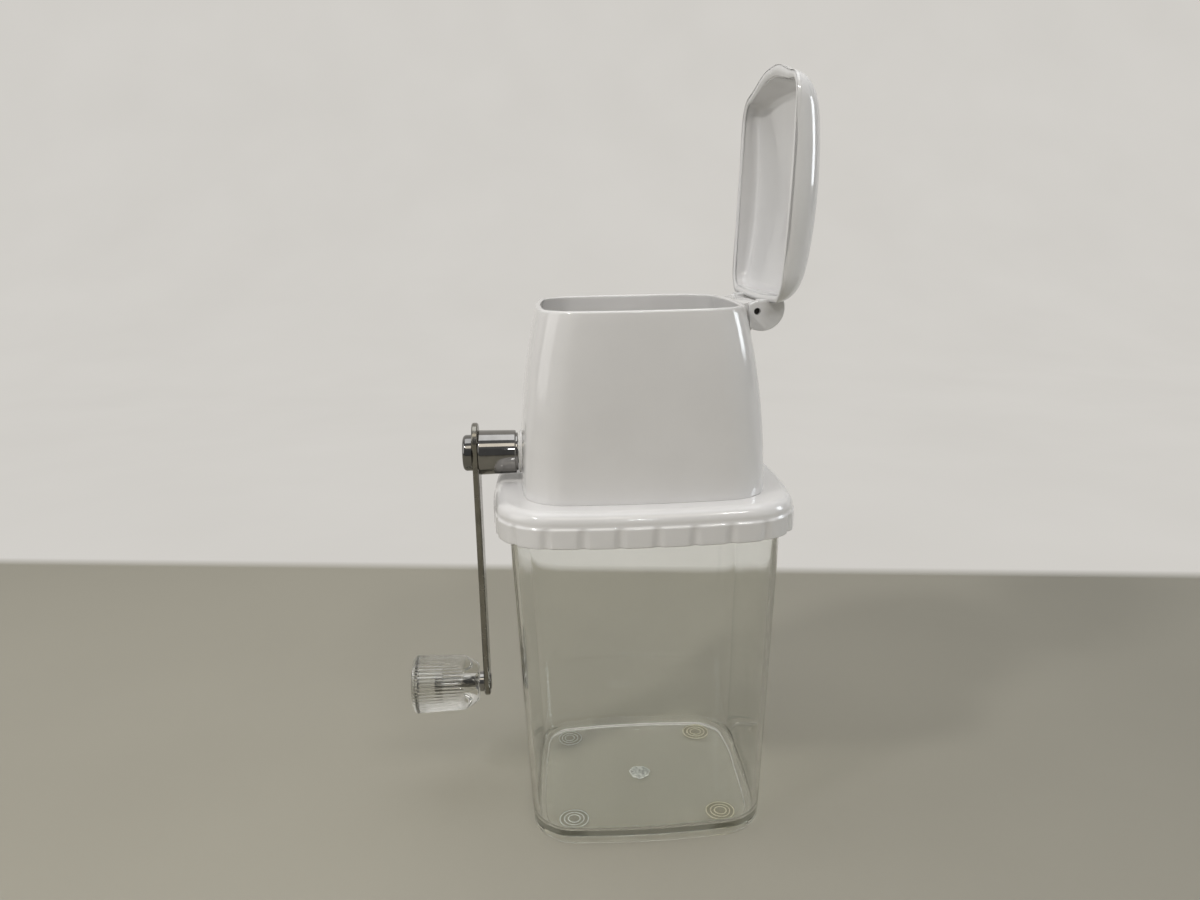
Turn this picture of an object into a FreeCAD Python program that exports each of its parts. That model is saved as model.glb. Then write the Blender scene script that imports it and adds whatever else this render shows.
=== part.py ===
"""Hand-cranked ice crusher.

A white hopper with a hinged lid stands on a scalloped collar, which seats on the rim of a clear container.
A shaft through the hopper carries star-shaped breaker plates that turn between the fingers of two fixed combs.
It is driven by a side crank with a clear free-turning knob. Millimetres, +Z up, X across the crank shaft, origin
at the middle of the container's foot ring. The crank hangs down and the lid stands open on its stop.
"""
import FreeCAD, Part
import math
import os

Vec = FreeCAD.Vector
X_AXIS = Vec(1, 0, 0)
Y_AXIS = Vec(0, 1, 0)
FIT = 0.05            # radial clearance of a running fit
GAP = 0.3             # clearance between parts that move past each other
OVERCUT = 2.0         # how far a cutter runs past what it cuts
JOIN = 0.5            # how far the pieces of one solid run into each other
EDGE_STEPS = 2        # flats across a rounded edge
TOUCH = 0.01          # edges nearer than this to a plane lie in it
FAR = 150.0           # past every part of the object

# ---- container: clear, drafted, with bowed sides ----
BASE_HALF_X = 51.5
BASE_HALF_Y = 48.4
CONTAINER_TOP_Z = 147.0
CONTAINER_DRAFT = 0.0385      # growth of each half size per millimetre of height
CONTAINER_CORNER_R = 19.0
SIDE_BOW = 1.7                # how far each long side bulges at its middle
CONTAINER_WALL = 2.2
FOOT_RING_H = 2.4             # recess under the floor
FOOT_RING_W = 5.0
FLOOR_T = 2.6
BASE_EDGE_R = 1.6
FLOOR_EDGE_R = 5.0
GATE_BOSS_R = 4.0
GATE_BOSS_H = 0.5

# ---- foot pads: soft clear discs in the recess ----
PAD_R = 6.5
PAD_X = 32.3
PAD_Y = 33.0
PAD_EDGE = 0.8

# ---- collar: seats on the container's rim ----
COLLAR_HALF_X = 62.6
COLLAR_HALF_Y = 59.2
COLLAR_CORNER_R = 25.0
COLLAR_BOW = 2.0
COLLAR_BOTTOM_Z = 136.4
COLLAR_TOP_Z = 150.4
LEDGE_Z = 144.2               # top of the scalloped skirt
LEDGE_W = 0.7                 # how far the skirt stands out past the shoulder
SHOULDER_R = 4.6
SKIRT_WALL = 2.2
GROOVE_COUNT = 30
GROOVE_SHIFT = 1.9            # of the first groove, from the middle of the front
GROOVE_R = 1.9
GROOVE_DEPTH = 1.1
SPIGOT_DEPTH = 7.0            # how far the inner ring reaches down into the container
SPIGOT_WALL = 1.8
THROAT_HALF_X = 43.0
THROAT_HALF_Y = 33.0
THROAT_CORNER_R = 8.0
THROAT_BOW = 0.5

# ---- hopper ----
HOPPER_BASE_X = 50.3
HOPPER_BASE_Y = 47.6
HOPPER_RIM_Z = 225.0
HOPPER_TAPER_X = 8.5
HOPPER_TAPER_Y = 2.4
HOPPER_TAPER_POWER = 2.2
HOPPER_CORNER_R = 18.5
HOPPER_BOW = 1.3
HOPPER_WALL = 2.3
HOPPER_LEVELS = 5

# ---- drive shaft and its bearings ----
SHAFT_Z = 162.0
HEX_AF = 8.0                  # across flats of the driving hexagon
JOURNAL_R = 5.0               # crank-side journal
TAIL_R = 3.9                  # far-side journal
JOURNAL_START_X = -51.6
JOURNAL_END_X = -41.9
HEX_END_X = 41.4
TAIL_END_X = 46.2
THREAD_R = 2.9
BUSH_R = 7.0
BUSH_FLANGE_R = 9.0
BUSH_FLANGE_T = 0.8
TAIL_BUSH_R = 6.0
BOSS_WALL = 2.4
BOSS_INNER_X = 42.2           # inner end of both bearing bosses
CLIP_R = 6.4
CLIP_T = 0.9
CLIP_MOUTH_W = 3.2
END_PLAY = 0.4                # between the shaft's far end and the blind hole it turns in
STACK_PLAY = 0.1              # between the end spacers and what holds them

# ---- breaker plates on the shaft, spacers between them ----
PLATE_COUNT = 6
PLATE_PITCH = 13.0
PLATE_T = 2.5
PLATE_HUB_R = 9.0
PLATE_TIP_R = 26.0
PRONG_COUNT = 3
PRONG_ROOT_R = 7.2
PRONG_WAIST_R = 16.0          # where the hollow leading edge is deepest
PRONG_TIP_HALF_DEG = 6.0
PRONG_WAIST_DEG = 9.0         # from the prong's middle line, on the leading side
PRONG_LEAD_ROOT_DEG = 24.0
PRONG_TRAIL_ROOT_DEG = 42.0
TOOTH_COUNT = 3
TOOTH_STEP_R = 5.0            # each tooth is this much nearer the shaft than the last
TOOTH_NOTCH_SHARE = 0.75      # of that step, down to the notch before the tooth
TOOTH_STEP_DEG = 6.0
TOOTH_DEPTH_DEG = 8.0
SPACER_R = 6.6

# ---- fixed combs and their screws ----
COMB_Z = 154.9                # underside of the stamped strip
COMB_T = 2.5
COMB_BACK_Y = 44.2
COMB_ROOT_Y = 33.5
COMB_TIP_Y = 8.2
FINGER_W = 5.4
FINGER_TIP_W = 3.6
COMB_HALF_X = 42.0
COMB_SCREW_X = 30.0
COMB_SCREW_Y = 38.4
SHELF_INNER_Y = 34.4
SHELF_HALF_X = 42.4
SCREW_R = 1.5
SCREW_HEAD_R = 3.0
SCREW_HEAD_H = 1.9
SCREW_L = 4.0
SCREW_SLOT_W = 0.8
SCREW_SLOT_D = 0.9
SCREW_CLEARANCE = 0.2         # round the shank in what it clamps

# ---- collar screws, from below into the hopper's corner bosses ----
COLLAR_SCREW_X = 39.5
COLLAR_SCREW_Y = 37.6
CORNER_BOSS_R = 4.2
COLLAR_SCREW_L = 7.0

# ---- crank ----
SLEEVE_START_X = -68.3
SLEEVE_END_X = -52.2
SLEEVE_R = 9.5
SLEEVE_LIP_R = 8.2
SLEEVE_LIP_END_X = -51.4
ARM_T = 2.6
ARM_W_TOP = 15.6
ARM_W_END = 12.4
ARM_RISE = 13.0               # from the shaft's axis to the arm's top end
ARM_THROW = 108.0             # from the shaft's axis to the knob's
ARM_EDGE = 0.5
CAP_NUT_R = 7.8
CAP_NUT_T = 4.2
CAP_NUT_DOME = 1.7            # how far the nut's outer edge is rounded

# ---- knob and its spindle ----
KNOB_INNER_X = -73.4
KNOB_NECK_R = 8.6
KNOB_SHOULDER_R = 12.2
KNOB_SHOULDER_X = -79.6
KNOB_END_R = 13.0
KNOB_OUTER_X = -103.0
KNOB_END_EDGE_R = 2.4
SPINDLE_R = 2.6
SPINDLE_HEAD_R = 4.4
SPINDLE_HEAD_X = -93.2
SPINDLE_HEAD_T = 3.2
SPINDLE_SLOT = 1.2            # width and depth of the slot in its head
SPINDLE_COLLAR_R = 4.6
SPINDLE_COLLAR_T = 2.0
RIVET_R = 3.6
RIVET_T = 0.6
RIVET_EDGE_R = 0.4
KNOB_MOUTH_R = 5.2

# ---- lid, drawn closed and turned open about its pin ----
LID_HALF_X = 43.3
LID_HALF_Y = 46.45
LID_CORNER_R = 11.5           # at the rim
LID_CROWN_CORNER_R = 9.4
LID_BOW = 1.1
LID_CROWN = 15.9
LID_SPHERE_R = 230.0
LID_EDGE_R = 9.4
LID_ROLL_STEPS = 3            # flats across the rolled edge
LID_WALL = 2.9
LID_CROWN_WALL = 3.0
LID_INNER_EDGE_R = 3.2
LID_CROWN_FLAT_INSET = 23.0   # where the crown's flats meet, from the lid's side
LID_OPEN_DEG = 93.0
SWELL_ROOT_HALF_W = 33.0      # the thumb swell at the free end, where it leaves the side
SWELL_TIP_HALF_W = 12.0
SWELL_ROOT_SINK = 0.6         # how far its ends start inside the side
SWELL_RIM = (0.0, 0.0, 4.6)   # height over the seat, setback of the lid's side there, reach past that
SWELL_BROW = (3.8, 0.0, 5.2)
SWELL_SLOPE = (8.0, 1.9, 2.6)
SWELL_TOP = (11.0, 5.6, 0.4)

# ---- hinge ----
PIN_X = 46.5
PIN_Z = 221.8
PIN_R = 1.3
HINGE_HALF_Y = 24.0
LUG_T = 4.2
LUG_ARC_R = 9.1
LUG_ARC_DX = 2.0              # arc centre from the pin, with the lid open
LUG_ARC_DZ = 1.2
LUG_FLAT_DX = 2.9             # the flat that meets the hopper wall as the open stop
KNUCKLE_R = 3.8
KNUCKLE_WEB_DROP = 9.0
PIN_RECESS = 2.4              # from the lug's outer face to the pressed-in pin's end
LUG_RISE = 7.6                # how far the lugs run up past the pin, into the lid's end wall
NOSE_R = 3.9                  # the lug's round nose about the pin
LID_END_CLEARANCE = 1.0       # lugs start this far outside the lid's end wall


def circle_prism(centre, axis, radius, length):
    return Part.makeCylinder(radius, length, centre, axis)


def along_x(x0, x1, radius, y=0.0, z=SHAFT_Z):
    return circle_prism(Vec(min(x0, x1), y, z), X_AXIS, radius, abs(x1 - x0))


def hex_prism(x0, x1, across_flats):
    """A hexagonal bar on the shaft's axis, with a flat on top."""
    corner = across_flats / math.sqrt(3)
    points = []
    for i in range(7):
        turn = math.radians(60 * i)
        points.append(Vec(x0, corner * math.cos(turn), SHAFT_Z + corner * math.sin(turn)))
    return Part.Face(Part.makePolygon(points)).extrude(Vec(x1 - x0, 0, 0))


def block(x0, x1, y0, y1, z0, z1):
    return Part.makeBox(x1 - x0, y1 - y0, z1 - z0, Vec(x0, y0, z0))


def bowed_outline(half_x, half_y, corner_r, bow, z):
    """A rectangle with bulging sides and rounded corners: eight arcs, all tangent."""
    side_x = (half_y - corner_r) ** 2 / (2 * bow)      # radius of the sides that face X
    side_y = (half_x - corner_r) ** 2 / (2 * bow)      # radius of the sides that face Y
    centre_x = Vec(half_x - side_x, 0, z)
    centre_y = Vec(0, half_y - side_y, z)
    reach_x = side_x - corner_r
    reach_y = side_y - corner_r
    between = centre_y - centre_x
    span = between.Length
    foot = (reach_x ** 2 - reach_y ** 2 + span ** 2) / (2 * span)
    height = math.sqrt(reach_x ** 2 - foot ** 2)
    along = Vec(between.x / span, between.y / span, 0)
    across = Vec(-along.y, along.x, 0)
    corner = centre_x + along * foot - across * height
    if corner.x < 0 or corner.y < 0:
        corner = centre_x + along * foot + across * height
    to_x = (corner - centre_x).normalize()
    to_y = (corner - centre_y).normalize()
    end_x = centre_x + to_x * side_x
    end_y = centre_y + to_y * side_y
    middle = corner + (to_x + to_y).normalize() * corner_r

    def place(v, sx, sy):
        return Vec(v.x * sx, v.y * sy, z)

    right = Part.Arc(place(end_x, 1, -1), Vec(half_x, 0, z), end_x).toShape()
    back_right = Part.Arc(end_x, middle, end_y).toShape()
    back = Part.Arc(end_y, Vec(0, half_y, z), place(end_y, -1, 1)).toShape()
    back_left = Part.Arc(place(end_y, -1, 1), place(middle, -1, 1), place(end_x, -1, 1)).toShape()
    left = Part.Arc(place(end_x, -1, 1), Vec(-half_x, 0, z), place(end_x, -1, -1)).toShape()
    front_left = Part.Arc(place(end_x, -1, -1), place(middle, -1, -1), place(end_y, -1, -1)).toShape()
    front = Part.Arc(place(end_y, -1, -1), Vec(0, -half_y, z), place(end_y, 1, -1)).toShape()
    front_right = Part.Arc(place(end_y, 1, -1), place(middle, 1, -1), place(end_x, 1, -1)).toShape()
    return Part.Wire([right, back_right, back, back_left, left, front_left, front, front_right])


def bowed_prism(half_x, half_y, corner_r, bow, z0, z1):
    return Part.Face(bowed_outline(half_x, half_y, corner_r, bow, z0)).extrude(Vec(0, 0, z1 - z0))


def eased_corner(radius):
    """Rise and inset of each step round a quarter turn, from the upright side to the flat top."""
    steps = []
    for i in range(EDGE_STEPS + 1):
        turn = math.radians(90 * i / EDGE_STEPS)
        steps.append((radius * math.sin(turn), radius * (1 - math.cos(turn))))
    return steps


def stacked(half_x, half_y, corner_r, bow, levels, draft=0.0, least_r=0.0):
    """A solid through bowed outlines. Each level is a height and how far the outline is drawn in there."""
    outlines = []
    for z, inset in levels:
        grow = draft * z - inset
        radius = max(corner_r - inset, least_r)
        outlines.append(bowed_outline(half_x + grow, half_y + grow, radius, bow, z))
    return Part.makeLoft(outlines, True, True)


def turned(points, z=SHAFT_Z):
    """A solid of revolution about a line along X. Points are X and radius, from one end to the other."""
    profile = [Vec(points[0][0], 0, z)]
    for x, radius in points:
        profile.append(Vec(x, 0, z + radius))
    profile += [Vec(points[-1][0], 0, z), profile[0]]
    return Part.Face(Part.makePolygon(profile)).revolve(Vec(0, 0, z), X_AXIS, 360)


def turned_edge(face_x, side_r, edge_r, inward):
    """Points round a turned piece's eased edge, from its end face to its side."""
    return [(face_x + inward * (edge_r - rise), side_r - inset) for rise, inset in reversed(eased_corner(edge_r))]


def fuse_all(shapes):
    whole = shapes[0]
    for shape in shapes[1:]:
        whole = whole.fuse(shape)
    return whole.removeSplitter()


# ---------------------------------------------------------------- container

def container_loft(z0, z1, inset, low_edge_r):
    """The container's drafted form between two heights, with an eased lower edge."""
    levels = []
    for rise, drawn_in in reversed(eased_corner(low_edge_r)):
        levels.append((z0 + low_edge_r - rise, inset + drawn_in))
    levels.append((z1, inset))
    return stacked(BASE_HALF_X, BASE_HALF_Y, CONTAINER_CORNER_R, SIDE_BOW, levels, CONTAINER_DRAFT)


def make_container():
    floor_z = FOOT_RING_H + FLOOR_T
    outer = container_loft(0, CONTAINER_TOP_Z, 0, BASE_EDGE_R)
    inner = container_loft(floor_z, CONTAINER_TOP_Z + OVERCUT, CONTAINER_WALL, FLOOR_EDGE_R)
    recess = bowed_prism(BASE_HALF_X - FOOT_RING_W, BASE_HALF_Y - FOOT_RING_W,
                         CONTAINER_CORNER_R - FOOT_RING_W, SIDE_BOW, -OVERCUT, FOOT_RING_H)
    shell = outer.cut(inner).cut(recess)
    gate = Part.makeCylinder(GATE_BOSS_R, GATE_BOSS_H + JOIN, Vec(0, 0, FOOT_RING_H - GATE_BOSS_H))
    return shell.fuse(gate).removeSplitter()


def make_foot_pads():
    pads = []
    for sx, sy in corner_signs():
        centre = Vec(sx * PAD_X, sy * PAD_Y, 0)
        edge = Part.makeCone(PAD_R - PAD_EDGE, PAD_R, PAD_EDGE, centre)
        body = Part.makeCylinder(PAD_R, FOOT_RING_H - PAD_EDGE, centre + Vec(0, 0, PAD_EDGE))
        pads.append(edge.fuse(body))
    return Part.makeCompound(pads)


# ---------------------------------------------------------------- collar

def make_collar():
    skirt = bowed_prism(COLLAR_HALF_X, COLLAR_HALF_Y, COLLAR_CORNER_R, COLLAR_BOW, COLLAR_BOTTOM_Z, LEDGE_Z)
    rim = bowed_outline(COLLAR_HALF_X, COLLAR_HALF_Y, COLLAR_CORNER_R, COLLAR_BOW, COLLAR_BOTTOM_Z)
    grooves = []
    for i in range(GROOVE_COUNT):
        point, outward = point_on_outline(rim, i / GROOVE_COUNT, GROOVE_SHIFT)
        centre = point + outward * (GROOVE_R - GROOVE_DEPTH)
        low = centre - Vec(0, 0, OVERCUT)
        grooves.append(Part.makeCylinder(GROOVE_R, LEDGE_Z - COLLAR_BOTTOM_Z + 2 * OVERCUT, low))
    skirt = skirt.cut(Part.makeCompound(grooves))
    levels = [(LEDGE_Z, LEDGE_W)]
    for rise, drawn_in in eased_corner(SHOULDER_R):
        levels.append((COLLAR_TOP_Z - SHOULDER_R + rise, LEDGE_W + drawn_in))
    shoulder = stacked(COLLAR_HALF_X, COLLAR_HALF_Y, COLLAR_CORNER_R, COLLAR_BOW, levels)
    body = shoulder.fuse(skirt)

    web_z = CONTAINER_TOP_Z
    skirt_inset = GROOVE_DEPTH + SKIRT_WALL
    pocket = bowed_prism(COLLAR_HALF_X - skirt_inset, COLLAR_HALF_Y - skirt_inset, COLLAR_CORNER_R - skirt_inset,
                         COLLAR_BOW, COLLAR_BOTTOM_Z - OVERCUT, web_z)
    spigot_x = BASE_HALF_X + CONTAINER_DRAFT * (web_z - SPIGOT_DEPTH) - CONTAINER_WALL - GAP
    spigot_y = BASE_HALF_Y + CONTAINER_DRAFT * (web_z - SPIGOT_DEPTH) - CONTAINER_WALL - GAP
    spigot_r = CONTAINER_CORNER_R - CONTAINER_WALL
    spigot = bowed_prism(spigot_x, spigot_y, spigot_r, SIDE_BOW, web_z - SPIGOT_DEPTH, web_z)
    spigot = spigot.cut(bowed_prism(spigot_x - SPIGOT_WALL, spigot_y - SPIGOT_WALL, spigot_r - SPIGOT_WALL,
                                    SIDE_BOW, web_z - SPIGOT_DEPTH - OVERCUT, web_z))
    throat = bowed_prism(THROAT_HALF_X, THROAT_HALF_Y, THROAT_CORNER_R, THROAT_BOW, web_z - OVERCUT,
                         COLLAR_TOP_Z + OVERCUT)
    body = body.cut(pocket).fuse(spigot).cut(throat)
    holes = []
    for sx, sy in corner_signs():
        centre = Vec(sx * COLLAR_SCREW_X, sy * COLLAR_SCREW_Y, web_z - OVERCUT)
        holes.append(Part.makeCylinder(SCREW_R + SCREW_CLEARANCE, 2 * OVERCUT + COLLAR_TOP_Z - web_z, centre))
    return body.cut(Part.makeCompound(holes)).removeSplitter()


def point_on_outline(wire, fraction, shift):
    """A point at a fraction of the outline's length past a shift from the middle of the front, and the way out."""
    edges = wire.Edges
    total = sum(edge.Length for edge in edges)
    front = edges[6]
    before_front = sum(edge.Length for edge in edges[:6]) + front.Length / 2
    distance = (before_front + shift + fraction * total) % total
    for edge in edges:
        if distance <= edge.Length:
            parameter = edge.getParameterByLength(distance)
            point = edge.valueAt(parameter)
            tangent = edge.tangentAt(parameter)
            outward = Vec(tangent.y, -tangent.x, 0).normalize()
            if outward.dot(Vec(point.x, point.y, 0)) < 0:
                outward = outward * -1
            return point, outward
        distance -= edge.Length
    return edges[-1].valueAt(edges[-1].LastParameter), Vec(1, 0, 0)


def corner_signs():
    return [(sx, sy) for sx in (-1, 1) for sy in (-1, 1)]


# ---------------------------------------------------------------- hopper

def hopper_half(z):
    """Half sizes of the hopper's outside at a height: upright low down, drawn in towards the rim."""
    rise = max(0.0, (z - COLLAR_TOP_Z) / (HOPPER_RIM_Z - COLLAR_TOP_Z))
    return (HOPPER_BASE_X - HOPPER_TAPER_X * rise ** HOPPER_TAPER_POWER,
            HOPPER_BASE_Y - HOPPER_TAPER_Y * rise ** HOPPER_TAPER_POWER)


def hopper_loft(inset, z0, z1):
    wires = []
    for i in range(HOPPER_LEVELS):
        z = z0 + (z1 - z0) * i / (HOPPER_LEVELS - 1)
        half_x, half_y = hopper_half(min(z, HOPPER_RIM_Z))
        wires.append(bowed_outline(half_x - inset, half_y - inset, HOPPER_CORNER_R - inset, HOPPER_BOW, z))
    return Part.makeLoft(wires, True, True)


def make_hopper():
    outer = hopper_loft(0, COLLAR_TOP_Z, HOPPER_RIM_Z)
    inner = hopper_loft(HOPPER_WALL, COLLAR_TOP_Z, HOPPER_RIM_Z)
    shelves = []
    for side in (-1, 1):
        y0, y1 = sorted((side * SHELF_INNER_Y, side * HOPPER_BASE_Y))
        shelves.append(block(-SHELF_HALF_X, SHELF_HALF_X, y0, y1, COLLAR_TOP_Z, COMB_Z))
    bosses = []
    for sx, sy in corner_signs():
        centre = Vec(sx * COLLAR_SCREW_X, sy * COLLAR_SCREW_Y, COLLAR_TOP_Z)
        bosses.append(Part.makeCylinder(CORNER_BOSS_R, COMB_Z - COLLAR_TOP_Z, centre))
    far_boss = along_x(BOSS_INNER_X, HOPPER_BASE_X, TAIL_BUSH_R + BOSS_WALL)
    crank_boss = along_x(-HOPPER_BASE_X, -BOSS_INNER_X, BUSH_R + BOSS_WALL)
    inside = Part.makeCompound(shelves + bosses + [far_boss]).common(outer)
    shell = outer.cut(inner)
    solid = fuse_all([shell, crank_boss] + list(inside.Solids))

    cuts = [along_x(-HOPPER_BASE_X - OVERCUT, -BOSS_INNER_X + OVERCUT, BUSH_R),
            along_x(BOSS_INNER_X - OVERCUT, TAIL_END_X + END_PLAY, TAIL_BUSH_R)]
    for sx, sy in corner_signs():
        collar_hole = Vec(sx * COLLAR_SCREW_X, sy * COLLAR_SCREW_Y, CONTAINER_TOP_Z)
        cuts.append(Part.makeCylinder(SCREW_R, COLLAR_SCREW_L, collar_hole))
        comb_hole = Vec(sx * COMB_SCREW_X, sy * COMB_SCREW_Y, COMB_Z + COMB_T - SCREW_L)
        cuts.append(Part.makeCylinder(SCREW_R, SCREW_L, comb_hole))
    return solid.cut(Part.makeCompound(cuts)).fuse(make_knuckle()).cut(
        along_y(PIN_X, PIN_Z, PIN_R + FIT, HINGE_HALF_Y + OVERCUT)).removeSplitter()


def along_y(x, z, radius, half_length):
    return Part.makeCylinder(radius, 2 * half_length, Vec(x, -half_length, z), Y_AXIS)


def make_knuckle():
    """The hopper's half of the hinge: a barrel on a gusset that grows out of the back wall."""
    half = HINGE_HALF_Y - LUG_T - GAP
    wall_x, _ = hopper_half(PIN_Z)
    low_x, _ = hopper_half(PIN_Z - KNUCKLE_WEB_DROP)
    diagonal = KNUCKLE_R / math.sqrt(2)
    outline = [Vec(wall_x - HOPPER_WALL, -half, PIN_Z + diagonal),
               Vec(PIN_X + diagonal, -half, PIN_Z + diagonal),
               Vec(PIN_X + diagonal, -half, PIN_Z - diagonal),
               Vec(low_x, -half, PIN_Z - KNUCKLE_WEB_DROP),
               Vec(low_x - HOPPER_WALL, -half, PIN_Z - KNUCKLE_WEB_DROP),
               Vec(wall_x - HOPPER_WALL, -half, PIN_Z + diagonal)]
    web = Part.Face(Part.makePolygon(outline)).extrude(Vec(0, 2 * half, 0))
    barrel = along_y(PIN_X, PIN_Z, KNUCKLE_R, half)
    inner = hopper_loft(HOPPER_WALL, COLLAR_TOP_Z, HOPPER_RIM_Z)
    return web.fuse(barrel).cut(inner)


# ---------------------------------------------------------------- bearings

def make_crank_side_bush():
    body = along_x(-HOPPER_BASE_X, -BOSS_INNER_X, BUSH_R)
    flange = along_x(-HOPPER_BASE_X - BUSH_FLANGE_T, -HOPPER_BASE_X, BUSH_FLANGE_R)
    bore = along_x(-HOPPER_BASE_X - OVERCUT, -BOSS_INNER_X + OVERCUT, JOURNAL_R + FIT)
    return body.fuse(flange).cut(bore).removeSplitter()


def make_far_side_bush():
    body = along_x(BOSS_INNER_X, TAIL_END_X + END_PLAY, TAIL_BUSH_R)
    return body.cut(along_x(BOSS_INNER_X - OVERCUT, TAIL_END_X + OVERCUT, TAIL_R + FIT))


# ---------------------------------------------------------------- shaft and breaker

def arm_faces():
    """Outer and inner X of the crank arm."""
    return SLEEVE_START_X - ARM_T, SLEEVE_START_X


def make_drive_shaft():
    arm_outer, _ = arm_faces()
    thread = along_x(arm_outer - CAP_NUT_T + CAP_NUT_DOME, arm_outer, THREAD_R)
    drive = hex_prism(arm_outer, JOURNAL_START_X, HEX_AF)
    journal = along_x(JOURNAL_START_X, JOURNAL_END_X, JOURNAL_R)
    breaker = hex_prism(JOURNAL_END_X, HEX_END_X, HEX_AF)
    tail = along_x(HEX_END_X, TAIL_END_X, TAIL_R)
    return fuse_all([thread, drive, journal, breaker, tail])


def plate_centres():
    first = -PLATE_PITCH * (PLATE_COUNT - 1) / 2
    return [first + PLATE_PITCH * i for i in range(PLATE_COUNT)]


def polar(x, radius, degrees):
    turn = math.radians(degrees)
    return Vec(x, radius * math.cos(turn), SHAFT_Z + radius * math.sin(turn))


def prong(x, middle):
    """One hooked prong: a hollow leading edge, a broad tip and a toothed trailing edge."""
    tip_lead = polar(x, PLATE_TIP_R, middle - PRONG_TIP_HALF_DEG)
    tip_trail = polar(x, PLATE_TIP_R, middle + PRONG_TIP_HALF_DEG)
    root_lead = polar(x, PRONG_ROOT_R, middle - PRONG_LEAD_ROOT_DEG)
    root_trail = polar(x, PRONG_ROOT_R, middle + PRONG_TRAIL_ROOT_DEG)
    edges = [Part.Arc(root_lead, polar(x, PRONG_WAIST_R, middle - PRONG_WAIST_DEG), tip_lead).toShape(),
             Part.Arc(tip_lead, polar(x, PLATE_TIP_R, middle), tip_trail).toShape()]
    corner = tip_trail
    for i in range(TOOTH_COUNT):
        trail = middle + TOOTH_DEPTH_DEG + TOOTH_STEP_DEG * i
        notch = polar(x, PLATE_TIP_R - TOOTH_STEP_R * (i + TOOTH_NOTCH_SHARE), trail)
        point = polar(x, PLATE_TIP_R - TOOTH_STEP_R * (i + 1), trail + TOOTH_DEPTH_DEG)
        edges.append(Part.LineSegment(corner, notch).toShape())
        edges.append(Part.LineSegment(notch, point).toShape())
        corner = point
    edges.append(Part.LineSegment(corner, root_trail).toShape())
    edges.append(Part.LineSegment(root_trail, root_lead).toShape())
    return Part.Face(Part.Wire(edges)).extrude(Vec(PLATE_T, 0, 0))


def make_breaker_plates():
    plates = []
    spread = 360 / PRONG_COUNT
    for index, centre in enumerate(plate_centres()):
        x = centre - PLATE_T / 2
        first = spread / 4 + spread / 2 * (index % 2)
        plate = along_x(x, x + PLATE_T, PLATE_HUB_R)
        for i in range(PRONG_COUNT):
            plate = plate.fuse(prong(x, first + spread * i))
        hole = hex_prism(x - OVERCUT, x + PLATE_T + OVERCUT, HEX_AF + 2 * FIT)
        plates.append(plate.cut(hole).removeSplitter())
    return Part.makeCompound(plates)


def make_plate_spacers():
    starts = [JOURNAL_END_X + STACK_PLAY] + [centre + PLATE_T / 2 for centre in plate_centres()]
    ends = [centre - PLATE_T / 2 for centre in plate_centres()] + [HEX_END_X - CLIP_T - STACK_PLAY]
    tubes = []
    for start, end in zip(starts, ends):
        tube = along_x(start, end, SPACER_R)
        tubes.append(tube.cut(hex_prism(start - OVERCUT, end + OVERCUT, HEX_AF + 2 * FIT)))
    return Part.makeCompound(tubes)


def make_shaft_clip():
    start = HEX_END_X - CLIP_T
    ring = along_x(start, HEX_END_X, CLIP_R)
    ring = ring.cut(hex_prism(start - OVERCUT, HEX_END_X + OVERCUT, HEX_AF + 2 * FIT))
    half_mouth = CLIP_MOUTH_W / 2
    return ring.cut(block(start - OVERCUT, HEX_END_X + OVERCUT, -half_mouth, half_mouth, SHAFT_Z - FAR, SHAFT_Z))


# ---------------------------------------------------------------- combs and screws

def make_comb(side):
    """A stamped strip with tapered fingers that pass between the breaker plates."""
    y0, y1 = sorted((side * COMB_ROOT_Y, side * COMB_BACK_Y))
    strip = block(-COMB_HALF_X, COMB_HALF_X, y0, y1, COMB_Z, COMB_Z + COMB_T)
    fingers = []
    for i in range(PLATE_COUNT + 1):
        x = (i - PLATE_COUNT / 2) * PLATE_PITCH
        root = side * (COMB_ROOT_Y + JOIN)
        tip = side * COMB_TIP_Y
        points = [Vec(x - FINGER_W / 2, root, COMB_Z), Vec(x + FINGER_W / 2, root, COMB_Z),
                  Vec(x + FINGER_TIP_W / 2, tip, COMB_Z), Vec(x - FINGER_TIP_W / 2, tip, COMB_Z),
                  Vec(x - FINGER_W / 2, root, COMB_Z)]
        fingers.append(Part.Face(Part.makePolygon(points)).extrude(Vec(0, 0, COMB_T)))
    comb = fuse_all([strip] + fingers)
    inside = hopper_loft(HOPPER_WALL + FIT, COLLAR_TOP_Z, HOPPER_RIM_Z)
    holes = []
    for sx in (-1, 1):
        centre = Vec(sx * COMB_SCREW_X, side * COMB_SCREW_Y, COMB_Z - OVERCUT)
        holes.append(Part.makeCylinder(SCREW_R + SCREW_CLEARANCE, COMB_T + 2 * OVERCUT, centre))
    return comb.common(inside).cut(Part.makeCompound(holes))


def make_screw(x, y, z, points_up, length):
    """A slotted pan-head screw. z is the seat of its head."""
    half_h = SCREW_HEAD_H / 2
    shank = Part.makeCylinder(SCREW_R, length + half_h, Vec(x, y, z - length))
    head = Part.makeCylinder(SCREW_HEAD_R, half_h, Vec(x, y, z))
    head = head.fuse(Part.makeCone(SCREW_HEAD_R, SCREW_HEAD_R - half_h, half_h, Vec(x, y, z + half_h)))
    slot = block(x - SCREW_SLOT_W / 2, x + SCREW_SLOT_W / 2, y - SCREW_HEAD_R - OVERCUT,
                 y + SCREW_HEAD_R + OVERCUT, z + SCREW_HEAD_H - SCREW_SLOT_D, z + SCREW_HEAD_H + OVERCUT)
    screw = shank.fuse(head).cut(slot).removeSplitter()
    if points_up:
        screw.rotate(Vec(x, y, z), X_AXIS, 180)
    return screw


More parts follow.
